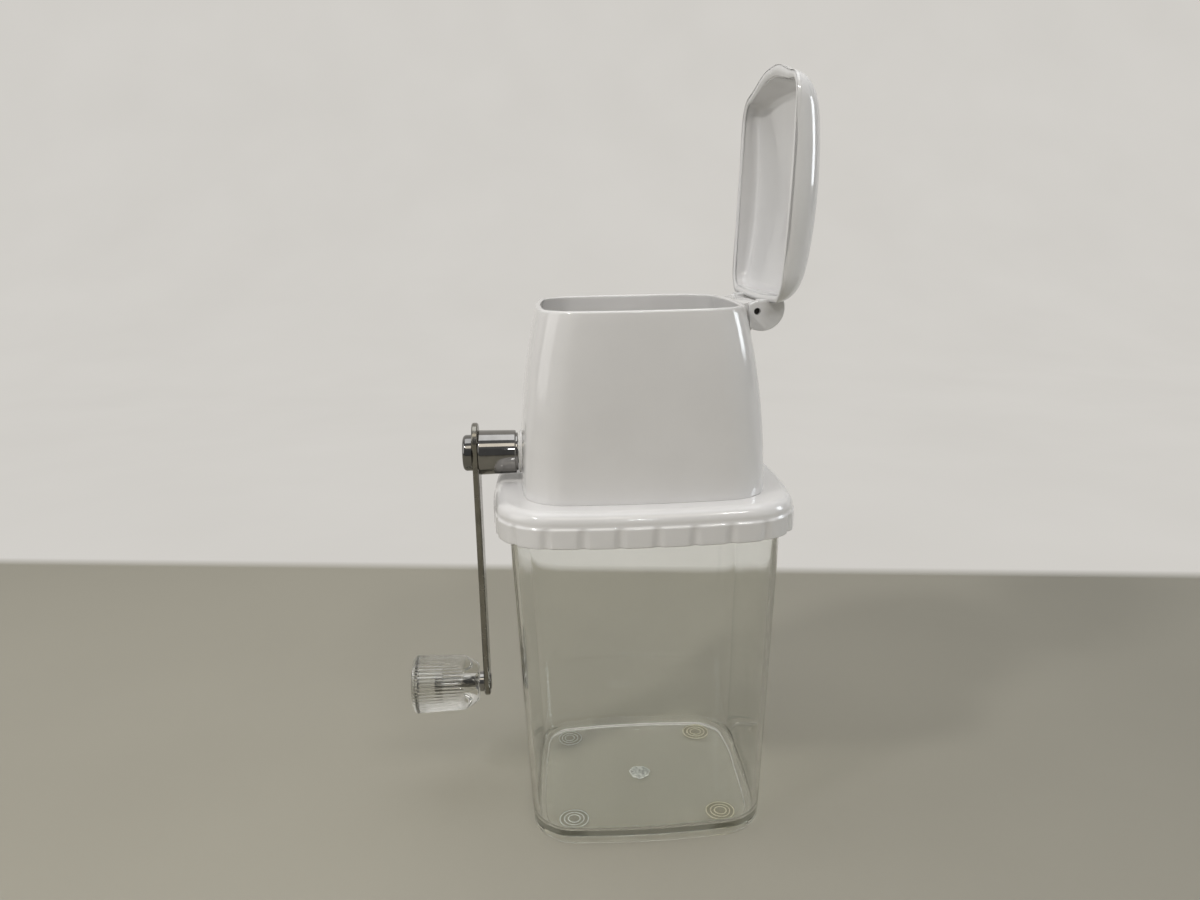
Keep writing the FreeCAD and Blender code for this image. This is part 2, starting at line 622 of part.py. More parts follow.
def make_comb_screws():
    screws = []
    for sx, sy in corner_signs():
        screws.append(make_screw(sx * COMB_SCREW_X, sy * COMB_SCREW_Y, COMB_Z + COMB_T, False, SCREW_L))
    return Part.makeCompound(screws)


def make_collar_screws():
    screws = []
    for sx, sy in corner_signs():
        screws.append(make_screw(sx * COLLAR_SCREW_X, sy * COLLAR_SCREW_Y, CONTAINER_TOP_Z, True, COLLAR_SCREW_L))
    return Part.makeCompound(screws)


# ---------------------------------------------------------------- crank

def make_crank_sleeve():
    body = turned([(SLEEVE_START_X, SLEEVE_R), (SLEEVE_END_X, SLEEVE_R),
                   (SLEEVE_END_X, SLEEVE_LIP_R), (SLEEVE_LIP_END_X, SLEEVE_LIP_R)])
    bore = hex_prism(SLEEVE_START_X - OVERCUT, JOURNAL_START_X, HEX_AF + 2 * FIT)
    journal_room = along_x(JOURNAL_START_X - FIT, SLEEVE_LIP_END_X + OVERCUT, JOURNAL_R + FIT)
    return body.cut(bore).cut(journal_room)


def make_crank_arm():
    """A flat bar, wider at the shaft, with both ends rounded."""
    outer_x, inner_x = arm_faces()
    top_z = SHAFT_Z + ARM_RISE
    low_z = SHAFT_Z - ARM_THROW
    half_top = ARM_W_TOP / 2
    half_end = ARM_W_END / 2
    shoulder_z = top_z - half_top
    left = Part.LineSegment(Vec(outer_x, -half_top, shoulder_z), Vec(outer_x, -half_end, low_z))
    foot = Part.Arc(Vec(outer_x, -half_end, low_z), Vec(outer_x, 0, low_z - half_end),
                    Vec(outer_x, half_end, low_z))
    right = Part.LineSegment(Vec(outer_x, half_end, low_z), Vec(outer_x, half_top, shoulder_z))
    head = Part.Arc(Vec(outer_x, half_top, shoulder_z), Vec(outer_x, 0, top_z),
                    Vec(outer_x, -half_top, shoulder_z))
    outline = Part.Wire([left.toShape(), foot.toShape(), right.toShape(), head.toShape()])
    bar = Part.Face(outline).extrude(Vec(inner_x - outer_x, 0, 0))
    long_edges = [edge for edge in bar.Edges if edge.BoundBox.XLength < TOUCH]
    bar = bar.makeChamfer(ARM_EDGE, long_edges)
    bar = bar.cut(hex_prism(outer_x - OVERCUT, inner_x + OVERCUT, HEX_AF + 2 * FIT))
    return bar.cut(along_x(outer_x - OVERCUT, inner_x + OVERCUT, SPINDLE_R + FIT, z=low_z))


def make_cap_nut():
    outer_x, _ = arm_faces()
    start = outer_x - CAP_NUT_T
    nut = turned(turned_edge(start, CAP_NUT_R, CAP_NUT_DOME, 1) + [(outer_x, CAP_NUT_R)])
    return nut.cut(along_x(start + CAP_NUT_DOME, outer_x + OVERCUT, THREAD_R))


def make_knob_spindle():
    """A shouldered rivet: its slotted head lies deep in the knob, its tail is closed over inside the arm."""
    low_z = SHAFT_Z - ARM_THROW
    outer_x, inner_x = arm_faces()
    head_end = SPINDLE_HEAD_X + SPINDLE_HEAD_T
    collar_start = outer_x - SPINDLE_COLLAR_T
    tail = list(reversed(turned_edge(inner_x + RIVET_T, RIVET_R, RIVET_EDGE_R, -1)))
    body = turned([(SPINDLE_HEAD_X, SPINDLE_HEAD_R), (head_end, SPINDLE_HEAD_R), (head_end, SPINDLE_R),
                   (collar_start, SPINDLE_R), (collar_start, SPINDLE_COLLAR_R), (outer_x, SPINDLE_COLLAR_R),
                   (outer_x, SPINDLE_R), (inner_x, SPINDLE_R), (inner_x, RIVET_R)] + tail, low_z)
    slot = block(SPINDLE_HEAD_X - OVERCUT, SPINDLE_HEAD_X + SPINDLE_SLOT, -FAR, FAR,
                 low_z - SPINDLE_SLOT / 2, low_z + SPINDLE_SLOT / 2)
    return body.cut(slot)


def make_knob():
    """A clear moulded grip: a cone by the arm, then a body with a deep mouth for the spindle's head."""
    low_z = SHAFT_Z - ARM_THROW
    body = turned(turned_edge(KNOB_OUTER_X, KNOB_END_R, KNOB_END_EDGE_R, 1) +
                  [(KNOB_SHOULDER_X, KNOB_SHOULDER_R), (KNOB_INNER_X, KNOB_NECK_R)], low_z)
    neck_bore = along_x(KNOB_INNER_X + OVERCUT, SPINDLE_HEAD_X, SPINDLE_R + FIT, z=low_z)
    mouth = along_x(KNOB_OUTER_X - OVERCUT, SPINDLE_HEAD_X + SPINDLE_HEAD_T + GAP, KNOB_MOUTH_R, z=low_z)
    return body.cut(neck_bore).cut(mouth)


# ---------------------------------------------------------------- lid

def lid_dome(wall, crown_wall, edge_r):
    """The lid's outside, or with a wall its hollow: an upright side, a rolled edge and a shallow crown."""
    seat = HOPPER_RIM_Z + GAP
    low = seat - (OVERCUT if wall else 0)
    sphere_r = LID_SPHERE_R - crown_wall

    def crown_z(inset):
        return seat + LID_CROWN - crown_wall - (LID_HALF_X - inset) ** 2 / (2 * sphere_r)

    meeting_slope = math.asin((LID_HALF_X - edge_r) / sphere_r)
    last_turn = math.pi / 2 - meeting_slope
    last_inset = wall + edge_r * (1 - math.cos(last_turn))
    roll_z = crown_z(last_inset) - edge_r * math.sin(last_turn)
    levels = [(low, wall)]
    for i in range(LID_ROLL_STEPS + 1):
        turn = last_turn * i / LID_ROLL_STEPS
        levels.append((roll_z + edge_r * math.sin(turn), wall + edge_r * (1 - math.cos(turn))))
    levels.append((crown_z(LID_CROWN_FLAT_INSET), LID_CROWN_FLAT_INSET))
    return stacked(LID_HALF_X, LID_HALF_Y, LID_CORNER_R, LID_BOW, levels, least_r=LID_CROWN_CORNER_R - wall)


def thumb_swell(wall):
    """The wave that carries the rim out at the free end, or with a wall its hollow. It leans back into the side."""
    seat = HOPPER_RIM_Z + GAP
    root = -LID_HALF_X + LID_EDGE_R
    outlines = []
    for height, setback, reach in (SWELL_RIM, SWELL_BROW, SWELL_SLOPE, SWELL_TOP):
        if wall:
            height = height - wall if height else -OVERCUT
        z = seat + height
        side = -LID_HALF_X + setback + SWELL_ROOT_SINK + wall
        tip = -LID_HALF_X + setback - reach + wall
        half_root = SWELL_ROOT_HALF_W - wall
        half_tip = SWELL_TIP_HALF_W
        outlines.append(Part.makePolygon([Vec(root, -half_root, z), Vec(side, -half_root, z),
                                          Vec(tip, -half_tip, z), Vec(tip, half_tip, z),
                                          Vec(side, half_root, z), Vec(root, half_root, z),
                                          Vec(root, -half_root, z)]))
    return Part.makeLoft(outlines, True, True)


def make_lugs():
    """Two D-shaped lugs, drawn with the lid open and turned shut with it."""
    disc = along_y(PIN_X + LUG_ARC_DX, PIN_Z + LUG_ARC_DZ, LUG_ARC_R, HINGE_HALF_Y)
    keep = block(PIN_X - LUG_FLAT_DX, FAR, -HINGE_HALF_Y, HINGE_HALF_Y, 0, PIN_Z + LUG_RISE)
    nose = along_y(PIN_X, PIN_Z, NOSE_R, HINGE_HALF_Y)
    upper_left = block(0, PIN_X, -HINGE_HALF_Y, HINGE_HALF_Y, PIN_Z, 2 * FAR)
    lug = disc.common(keep).cut(upper_left.cut(nose))
    middle = HINGE_HALF_Y - LUG_T
    lug = lug.cut(block(0, FAR, -middle, middle, 0, 2 * FAR))
    lug.rotate(Vec(PIN_X, 0, PIN_Z), Y_AXIS, -LID_OPEN_DEG)
    return lug


def make_lid():
    outer = lid_dome(0, 0, LID_EDGE_R)
    hollow = lid_dome(LID_WALL, LID_CROWN_WALL, LID_INNER_EDGE_R)
    seat = HOPPER_RIM_Z + GAP
    shell = outer.fuse(thumb_swell(0)).cut(hollow).cut(thumb_swell(LID_WALL))
    lugs = make_lugs().cut(hollow)
    below = block(0, LID_HALF_X + LID_END_CLEARANCE, -FAR, FAR, 0, seat)
    lid = shell.fuse(lugs.cut(below)).removeSplitter()
    lid = lid.cut(along_y(PIN_X, PIN_Z, PIN_R, HINGE_HALF_Y + OVERCUT))
    lid.rotate(Vec(PIN_X, 0, PIN_Z), Y_AXIS, LID_OPEN_DEG)
    return lid


def make_hinge_pin():
    return along_y(PIN_X, PIN_Z, PIN_R, HINGE_HALF_Y - PIN_RECESS)


PARTS = {
    "container": make_container,
    "foot_pads": make_foot_pads,
    "collar_ring": make_collar,
    "collar_screws": make_collar_screws,
    "hopper_shell": make_hopper,
    "crank_side_bush": make_crank_side_bush,
    "far_side_bush": make_far_side_bush,
    "front_comb": lambda: make_comb(-1),
    "back_comb": lambda: make_comb(1),
    "comb_screws": make_comb_screws,
    "drive_shaft": make_drive_shaft,
    "breaker_plates": make_breaker_plates,
    "plate_spacers": make_plate_spacers,
    "shaft_clip": make_shaft_clip,
    "crank_sleeve": make_crank_sleeve,
    "crank_arm": make_crank_arm,
    "cap_nut": make_cap_nut,
    "knob_spindle": make_knob_spindle,
    "crank_knob": make_knob,
    "lid_shell": make_lid,
    "hinge_pin": make_hinge_pin,
}


def main():
    os.makedirs("parts", exist_ok=True)
    for name, make in PARTS.items():
        shape = make()
        solids = len(shape.Solids)
        box = shape.BoundBox
        print(f"{name}: {solids} solids, valid {shape.isValid()}, {shape.Volume / 1000:.2f} cm3, "
              f"x {box.XMin:.1f}..{box.XMax:.1f} y {box.YMin:.1f}..{box.YMax:.1f} z {box.ZMin:.1f}..{box.ZMax:.1f}")
        shape.exportStep(f"parts/{name}.step")


main()
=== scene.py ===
"""Looks for the hand-cranked ice crusher.

The container, its pads, the collar, the hopper, the lid, the knob, the sleeve and the nut are drawn again
here as smooth meshes and replace their CAD nodes. The other pieces keep their CAD mesh and get a finish.
Metres, +Z up, X along the crank's shaft, as in the frame. The crank hangs down and the lid stands open.
"""
import math

import bmesh
import bpy
from mathutils import Matrix, Vector


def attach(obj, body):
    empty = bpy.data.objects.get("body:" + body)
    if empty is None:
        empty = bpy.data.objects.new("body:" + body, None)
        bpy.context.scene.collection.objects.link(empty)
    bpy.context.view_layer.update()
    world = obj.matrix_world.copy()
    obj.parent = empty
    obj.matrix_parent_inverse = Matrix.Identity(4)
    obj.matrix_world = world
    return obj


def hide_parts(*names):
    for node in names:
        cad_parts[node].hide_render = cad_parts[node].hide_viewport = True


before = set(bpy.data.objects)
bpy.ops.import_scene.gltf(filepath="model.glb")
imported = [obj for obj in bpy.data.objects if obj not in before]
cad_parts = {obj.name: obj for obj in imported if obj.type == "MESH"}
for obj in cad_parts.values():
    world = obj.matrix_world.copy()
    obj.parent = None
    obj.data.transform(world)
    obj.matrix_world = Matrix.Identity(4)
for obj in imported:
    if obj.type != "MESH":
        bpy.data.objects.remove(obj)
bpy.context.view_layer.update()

MM = 0.001
QUARTER = math.pi / 2
SHARP_DEGREES = 32.0  # an edge that turns by more than this stays sharp

# ---- points round an outline ----
OUTLINE_POINTS = 256  # a plain moulding
CONTAINER_POINTS = 512
COLLAR_POINTS = 780  # 26 to each scallop
TURNED_POINTS = 96
PAD_POINTS = 64
GATE_POINTS = 48
HOOP_POINTS = 72
PIN_BORE_POINTS = 48

# ---- past these counts light caught in clear plastic goes straight on, dimmed at each surface ----
MOST_BOUNCES = 8
MOST_REFLECTIONS = 3
CAUGHT_TINT = (0.6, 0.6, 0.56)

# ---- container ----
BASE_HALF_X = 51.5 * MM
BASE_HALF_Y = 48.4 * MM
CONTAINER_TOP = 147.0 * MM
CONTAINER_DRAFT = 0.0385
CONTAINER_CORNER_R = 19.0 * MM
CONTAINER_BOW = 1.7 * MM
CONTAINER_WALL = 2.2 * MM
CONTAINER_RIM_R = 0.8 * MM
CONTAINER_ROWS = 14  # up each side
RECESS_H = 2.4 * MM
RECESS_W = 5.0 * MM
RECESS_TOP_BREAK = 0.2 * MM
RECESS_FOOT_BREAK = 0.3 * MM
FLOOR_TOP = 5.0 * MM
FLOOR_EDGE_R = 3.4 * MM
BASE_EDGE_R = 1.6 * MM
EDGE_WAVE = 0.09 * MM  # unevenness of the moulded edges
EDGE_WAVES = ((29, 1.0, 0.0), (47, 0.8, 1.3), (71, 0.6, 2.1))

# ---- scar of the feed, under the floor's middle. Its profile: share of the radius, mm down ----
GATE_R = 3.9 * MM
GATE_RIDGE_R = 4.4 * MM
GATE_RIDGE_W = 0.45 * MM
GATE_GAP = 0.06 * MM
GATE_PROFILE = ((0.2, 0.0), (1.0, 0.0), (1.0, 0.25), (0.85, 0.45), (0.4, 0.5), (0.3, 0.8), (0.15, 0.9))
GATE_WAVES = ((3, 0.05, 0.6), (7, 0.04, 0.0), (11, 0.02, 2.0))

# ---- foot pads ----
PAD_R = 6.5 * MM
PAD_X = 32.3 * MM
PAD_Y = 33.0 * MM
PAD_MIDDLE_R = 0.3 * MM
PAD_LOW_EDGE_R = 0.8 * MM
PAD_LOW_BREAK = 0.25 * MM
PAD_HIGH_EDGE_R = 0.4 * MM
PAD_HIGH_BREAK = 0.12 * MM
PAD_RING_RS = (6.2 * MM, 4.3 * MM, 2.6 * MM)
PAD_RING_W = 0.24 * MM
PAD_RING_DROP = 0.5 * MM  # below the top of the recess
PAD_SINK = 0.02 * MM  # the soft pads press a little into the recess

# ---- collar ----
COLLAR_HALF_X = 62.6 * MM
COLLAR_HALF_Y = 59.2 * MM
COLLAR_CORNER_R = 25.0 * MM
COLLAR_BOW = 2.0 * MM
COLLAR_BOTTOM = 136.4 * MM
COLLAR_TOP = 150.4 * MM
SKIRT_WALL = 3.3 * MM
SKIRT_EDGE_R = 0.5 * MM
SKIRT_INNER_BREAK = 0.2 * MM
SKIRT_ROWS = 12
LEDGE = 144.2 * MM
LEDGE_W = 0.7 * MM
LEDGE_START = 0.6 * MM  # below the ledge, where the skirt starts to draw in
LEDGE_CURVE = ((-0.25, 0.04), (0.0, 0.16), (0.25, 0.36), (0.5, 0.56), (0.9, 0.7))  # mm up, mm drawn in
SHOULDER_R = 4.6 * MM
GROOVE_COUNT = 30
GROOVE_SHIFT = 1.9 * MM  # of the first one, from the middle of the front
GROOVE_HALF_W = 3.0 * MM
GROOVE_DEPTH = 0.95 * MM
GROOVE_END = 0.5 * MM  # above the ledge, where the grooves have died out
WEB_UNDER = 147.0 * MM
SPIGOT_DEPTH = 7.0 * MM
SPIGOT_WALL = 1.8 * MM
SPIGOT_INSET = 2.5 * MM  # from the container's outside at the spigot's end
THROAT_HALF_X = 43.0 * MM
THROAT_HALF_Y = 33.0 * MM
THROAT_CORNER_R = 8.0 * MM
THROAT_BOW = 0.5 * MM
THROAT_BREAK = 0.4 * MM

# ---- hopper ----
HOPPER_HALF_X = 50.3 * MM
HOPPER_HALF_Y = 47.6 * MM
HOPPER_RIM = 225.0 * MM
HOPPER_TAPER_X = 8.5 * MM
HOPPER_TAPER_Y = 2.4 * MM
HOPPER_TAPER_POWER = 2.2
HOPPER_CORNER_R = 18.5 * MM
HOPPER_BOW = 1.3 * MM
HOPPER_WALL = 2.3 * MM
HOPPER_ROWS = 40  # up each side
HOPPER_SEAM = 0.02 * MM  # between the foot and the collar
HOPPER_FOOT = COLLAR_TOP + HOPPER_SEAM
HOPPER_FOOT_R = 0.2 * MM
RIM_EDGE_R = 0.9 * MM
SHELF_TOP = 154.85 * MM
SHELF_INNER_Y = 34.4 * MM
SHELF_HALF_X = 42.4 * MM
SHELF_SINK = 0.3 * MM  # into the wall
SHELF_CORNER = 1.0 * MM  # from the inner edge to where the wall's line begins
SHELF_BEVEL = 0.3 * MM
BEARING_WALL = 2.4 * MM
BEARING_INNER_X = 42.2 * MM
BEARING_BREAK = 0.5 * MM
BEARING_SINK = 1.0 * MM  # of the far boss, into the wall
BORE_OVERCUT = 2.0 * MM

# ---- shaft, sleeve, nut ----
SHAFT_Z = 162.0 * MM
CRANK_BUSH_R = 7.0 * MM
FAR_BUSH_R = 6.0 * MM
SLEEVE_ARM_X = -68.3 * MM
SLEEVE_WALL_X = -52.2 * MM
SLEEVE_LIP_X = -51.4 * MM
SLEEVE_ARM_R = 9.65 * MM
SLEEVE_WALL_R = 9.3 * MM
SLEEVE_LIP_R = 8.2 * MM
SLEEVE_LIP_BREAK = 0.2 * MM
SLEEVE_BORE_R = 5.1 * MM
SLEEVE_EDGE_R = 0.6 * MM
NUT_INNER_X = -70.9 * MM
NUT_OUTER_X = -75.1 * MM
NUT_R = 7.8 * MM
NUT_BREAK = 0.3 * MM
NUT_DOME_R = 1.7 * MM
NUT_CROWN = 0.2 * MM  # the dome's middle stands out by this

# ---- knob ----
KNOB_Z = 54.0 * MM
KNOB_INNER_X = -73.4 * MM
KNOB_SHOULDER_X = -79.6 * MM
KNOB_OUTER_X = -103.0 * MM
KNOB_NECK_R = 8.6 * MM
KNOB_NECK_EDGE_R = 0.5 * MM
KNOB_SHOULDER_R = 12.2 * MM
KNOB_END_R = 13.0 * MM
KNOB_EDGE_R = 2.4 * MM
KNOB_BORE_R = 2.65 * MM
KNOB_MOUTH_R = 5.2 * MM
KNOB_MOUTH_X = -89.7 * MM
KNOB_MOUTH_BREAK = 0.4 * MM
FLUTE_COUNT = 52
FLUTE_DEPTH = 0.28 * MM
FLUTE_POINTS = 10  # round each flute and its land
FLUTE_START = 1.8 * MM  # length over which the flutes come up

# ---- lid and thumb bump, drawn shut and turned open ----
LID_HALF_X = 43.3 * MM
LID_HALF_Y = 46.45 * MM
LID_CORNER_R = 11.0 * MM  # at the rim
LID_CROWN_CORNER_R = 9.4 * MM  # where the rolled edge meets the crown
LID_BOW = 1.1 * MM
LID_SEAT = 225.3 * MM
LID_CROWN = 15.9 * MM
LID_SPHERE_R = 230.0 * MM
LID_EDGE_R = 9.4 * MM
LID_INNER_EDGE_R = 3.2 * MM
LID_WALL = 2.9 * MM
LID_LIP_R = 1.3 * MM  # of the rim's edges
LID_LEAST_H = 0.3 * MM
LID_CROWN_WALL = 3.0 * MM
LID_OPEN = math.radians(93.0)
BUMP_REACH = 5.2 * MM
BUMP_INNER_REACH = 4.2 * MM
BUMP_HALF_W = 38.0 * MM
BUMP_EASE = 32.0 * MM  # width of its curve on each side
BUMP_LOW_H = 2.0 * MM
BUMP_TOP_H = 12.5 * MM
BUMP_START_X = 15.0 * MM  # from the lid's middle to where it begins
BUMP_RUN = 20.0 * MM

# ---- hinge ----
PIN_X = 46.5 * MM
PIN_Z = 221.8 * MM
PIN_HOLE_R = 1.35 * MM  # in the lugs, round a pin of 1.3
KNUCKLE_BORE_R = 1.4 * MM
PIN_OVERCUT = 1.0 * MM
HINGE_HALF_Y = 24.0 * MM
LUG_T = 4.2 * MM
LUG_R = 9.1 * MM
LUG_DX = 2.0 * MM
LUG_DZ = 1.2 * MM
LUG_FLAT_DX = 2.9 * MM
LUG_NOSE_R = 3.9 * MM
LUG_TOP_DZ = 4.6 * MM
LUG_BEVEL = 0.5 * MM
KNUCKLE_R = 3.8 * MM
KNUCKLE_DROP = 9.0 * MM
KNUCKLE_GAP = 0.3 * MM  # to each lug
KNUCKLE_SINK = 0.2 * MM  # of the gusset's foot, into the wall
KNUCKLE_BEVEL = 0.35 * MM

# ---- stage ----
TABLE_TOP = 0.03 * MM  # the foot and the soft pads touch it closely all over
TABLE_EDGE = 0.2777
TABLE_EDGE_BLUR = 0.008
TABLE_TURN = math.radians(8.3)  # of the far edge, from the line of the shaft
# the table's own tone, and the darker tone that its mottle and the painted shadow towards +X run to
TABLE_LIGHT = (0.392, 0.37, 0.306)
TABLE_SHADE = (0.298, 0.282, 0.235)
BACKDROP_LIGHT = (0.645, 0.625, 0.59)
BACKDROP_SHADE = (0.625, 0.605, 0.57)
FLOOR_FRONT = (-3.0, -0.5, 0.0, 0.5)
FLOOR_HALF_W = 4.0
BEND_START = 1.1
BEND_R = 0.9
BEND_STEPS = 16
BACKDROP_TOP = 4.0
LIT_POINT = Vector((0, 0, 0.16))
WORLD_LEVELS = ((0.0, 0.2), (0.45, 0.15), (0.72, 0.15), (0.86, 0.3), (1.0, 0.28))  # from below to overhead

# ---- camera ----
CAMERA_PLACE = Vector((-39.61, -386.29, 253.75)) * MM
CAMERA_YAW = math.radians(3.502)
CAMERA_PITCH = math.radians(13.431)
CAMERA_ROLL = math.radians(-1.064)
CAMERA_LENS = 27.39


# ---- camera ----

def add_camera():
    """The photograph's viewpoint: close, a little above the rim, looking slightly down."""
    data = bpy.data.cameras.new("camera")
    data.lens = CAMERA_LENS
    data.sensor_width = 36.0
    data.clip_start = 0.01
    camera = bpy.data.objects.new("camera", data)
    forward = Vector((math.sin(CAMERA_YAW) * math.cos(CAMERA_PITCH),
                      math.cos(CAMERA_YAW) * math.cos(CAMERA_PITCH), -math.sin(CAMERA_PITCH)))
    level = Vector((math.cos(CAMERA_YAW), -math.sin(CAMERA_YAW), 0))
    plumb = level.cross(forward)
    right = level * math.cos(CAMERA_ROLL) + plumb * math.sin(CAMERA_ROLL)
    up = plumb * math.cos(CAMERA_ROLL) - level * math.sin(CAMERA_ROLL)
    turn = Matrix((right, up, -forward)).transposed()
    camera.matrix_world = Matrix.Translation(CAMERA_PLACE) @ turn.to_4x4()
    bpy.context.scene.collection.objects.link(camera)
    bpy.context.scene.camera = camera


# ---- nodes ----

def set_sockets(node, values):
    """Sets plain values on a node's own sockets. An underscore stands for a space."""
    for socket, value in values.items():
        node.inputs[socket.replace("_", " ")].default_value = value


def add_node(owner, kind, **values):
    """A new node in a material or a world."""
    node = owner.node_tree.nodes.new(kind)
    set_sockets(node, values)
    return node


def join(output, node, socket):
    """Links an output to a node's socket, by its name or number."""
    node.id_data.links.new(output, node.inputs[socket])


def principled(name, **values):
    """A new material and its shader."""
    material = bpy.data.materials.new(name)
    material.use_nodes = True
    shader = material.node_tree.nodes["Principled BSDF"]
    set_sockets(shader, values)
    return material, shader


def noise(material, scale, detail=3.0, stretch=(1, 1, 1)):
    """Noise over the object's own coordinates. The scale is in features per metre."""
    place = add_node(material, "ShaderNodeTexCoord")
    mapping = add_node(material, "ShaderNodeMapping", Scale=stretch)
    texture = add_node(material, "ShaderNodeTexNoise", Scale=scale, Detail=detail)
    join(place.outputs["Object"], mapping, "Vector")
    join(mapping.outputs["Vector"], texture, "Vector")
    return texture.outputs["Fac"]


def spread(owner, factor, low, high, start=0.3, end=0.7):
    """Stretches the values between start and end over a range."""
    node = add_node(owner, "ShaderNodeMapRange", From_Min=start, From_Max=end, To_Min=low, To_Max=high)
    join(factor, node, "Value")
    return node.outputs["Result"]


def colours(owner, factor, stops):
    """A colour ramp over a value. Stops are position and colour."""
    node = add_node(owner, "ShaderNodeValToRGB")
    ramp = node.color_ramp
    while len(ramp.elements) < len(stops):
        ramp.elements.new(0.5)
    for element, (position, colour) in zip(ramp.elements, stops):
        element.position = position
        element.color = (*colour, 1)
    join(factor, node, "Fac")
    return node.outputs["Color"]


def calculate(material, operation, first, second):
    """A Math node. The second value may be a plain number."""
    node = add_node(material, "ShaderNodeMath")
    node.operation = operation
    join(first, node, 0)
    if isinstance(second, float):
        node.inputs[1].default_value = second
    else:
        join(second, node, 1)
    return node.outputs["Value"]


def mix_shaders(material, factor, first, second):
    """The first shader where the factor is 0 and the second where it is 1."""
    node = add_node(material, "ShaderNodeMixShader")
    join(factor, node, "Fac")
    join(first, node, 1)
    join(second, node, 2)
    return node.outputs["Shader"]


def transparent(material, tint):
    return add_node(material, "ShaderNodeBsdfTransparent", Color=(*tint, 1)).outputs["BSDF"]


def show(material, shading):
    """Puts a shader's output on the material's surface."""
    join(shading, material.node_tree.nodes["Material Output"], "Surface")


def roughen(material, shader, layers):
    """Bump from layers of texture, each with its own depth in metres."""
    normal = None
    for factor, depth in layers:
        bump = add_node(material, "ShaderNodeBump", Distance=depth)
        join(factor, bump, "Height")
        if normal is not None:
            join(normal, bump, "Normal")
        normal = bump.outputs["Normal"]
    join(normal, shader, "Normal")


# ---- finishes ----

def white_plastic(name, light, shade, rough):
    """Glossy moulded plastic: faint flow mottling, hairline scratches and a slight ripple in the gloss."""
    material, shader = principled(name, IOR=1.5, Coat_Weight=0.15, Coat_Roughness=0.08)
    mottle = noise(material, 38, 4)
    join(colours(material, mottle, [(0.3, shade), (0.7, light)]), shader, "Base Color")
    smear = noise(material, 120, 5, (1, 1, 0.25))
    join(spread(material, smear, *rough), shader, "Roughness")
    scratch = noise(material, 900, 2, (1, 1, 0.06))
    ripple = noise(material, 60, 1)
    roughen(material, shader, [(ripple, 0.12 * MM), (scratch, 0.004 * MM)])
    return material


def clear_plastic(name, light, deep, rough, ripple_depth, let_by=0.9, ior=1.53):
    """Clear moulded plastic with a trace of tint, handling haze and fine scratches."""
    material, shader = principled(name, IOR=ior, Transmission_Weight=1.0)
    flow = noise(material, 30, 3)
    join(colours(material, flow, [(0.3, deep), (0.7, light)]), shader, "Base Color")
    haze = noise(material, 90, 6, (1, 1, 0.5))
    join(spread(material, haze, *rough, 0.4, 0.75), shader, "Roughness")
    ripple = noise(material, 45, 1)
    scratch = noise(material, 1200, 2, (1, 0.3, 0.05))
    roughen(material, shader, [(ripple, ripple_depth), (scratch, 0.002 * MM)])
    let_light_through(material, shader, tuple(let_by * part for part in light))
    return material


def let_light_through(material, shader, tint):
    """Lamp light passes clear plastic in place of a hard shadow. Light caught inside it dies away."""
    path = add_node(material, "ShaderNodeLightPath")
    late = calculate(material, "GREATER_THAN", path.outputs["Ray Depth"], MOST_BOUNCES - 0.5)
    mirrored = calculate(material, "GREATER_THAN", path.outputs["Glossy Depth"], MOST_REFLECTIONS - 0.5)
    caught = calculate(material, "MAXIMUM", late, mirrored)
    inside = mix_shaders(material, caught, shader.outputs["BSDF"], transparent(material, CAUGHT_TINT))
    in_shadow = path.outputs["Is Shadow Ray"]
    show(material, mix_shaders(material, in_shadow, inside, transparent(material, tint)))


def frosted(name, deep, light, grain, see_through=0.0):
    """Matt, slightly milky plastic, as at a mould's scars and ridges."""
    material, shader = principled(name, IOR=1.5, Transmission_Weight=see_through)
    grit = noise(material, grain, 3)
    join(colours(material, grit, [(0.38, deep), (0.62, light)]), shader, "Base Color")
    join(spread(material, grit, 0.45, 0.7), shader, "Roughness")
    roughen(material, shader, [(grit, 0.1 * MM)])
    let_light_through(material, shader, (1.0, 1.0, 1.0))
    return material


def metal(name, light, dark, rough, grain, stretch, depth):
    """Plated or bare metal with a grain along one axis, dulled patches and small dings."""
    material, shader = principled(name, Metallic=1.0)
    tarnish = noise(material, 110, 4)
    join(colours(material, tarnish, [(0.32, dark), (0.62, light)]), shader, "Base Color")
    wear = noise(material, 260, 6)
    join(spread(material, wear, *rough), shader, "Roughness")
    brushed = noise(material, grain, 2, stretch)
    dings = noise(material, 320, 2)
    roughen(material, shader, [(dings, depth * 3), (brushed, depth)])
    return material


CLEAR = clear_plastic("container_clear", light=(0.958, 0.963, 0.948), deep=(0.937, 0.942, 0.926),
                      rough=(0.0, 0.04), ripple_depth=0.06 * MM)
KNOB_CLEAR = clear_plastic("knob_clear", light=(0.77, 0.77, 0.74), deep=(0.71, 0.71, 0.68),
                           rough=(0.02, 0.08), ripple_depth=0.05 * MM)
GEL = clear_plastic("pad_gel_clear", light=(1.0, 1.0, 1.0), deep=(0.98, 0.985, 0.985),
                    rough=(0.0, 0.03), ripple_depth=0.04 * MM, let_by=1.0, ior=1.12)
GEL_AGED = clear_plastic("pad_gel_aged", light=(1.0, 0.985, 0.93), deep=(0.98, 0.95, 0.87),
                         rough=(0.0, 0.04), ripple_depth=0.04 * MM, let_by=1.0, ior=1.12)
WHITE = white_plastic("white_gloss", light=(0.8, 0.79, 0.785), shade=(0.765, 0.755, 0.75), rough=(0.05, 0.13))
LID_WHITE = white_plastic("lid_gloss", light=(0.8, 0.795, 0.795), shade=(0.77, 0.765, 0.765),
                          rough=(0.04, 0.11))
NYLON = white_plastic("bush_satin", light=(0.74, 0.73, 0.7), shade=(0.68, 0.67, 0.64), rough=(0.3, 0.42))
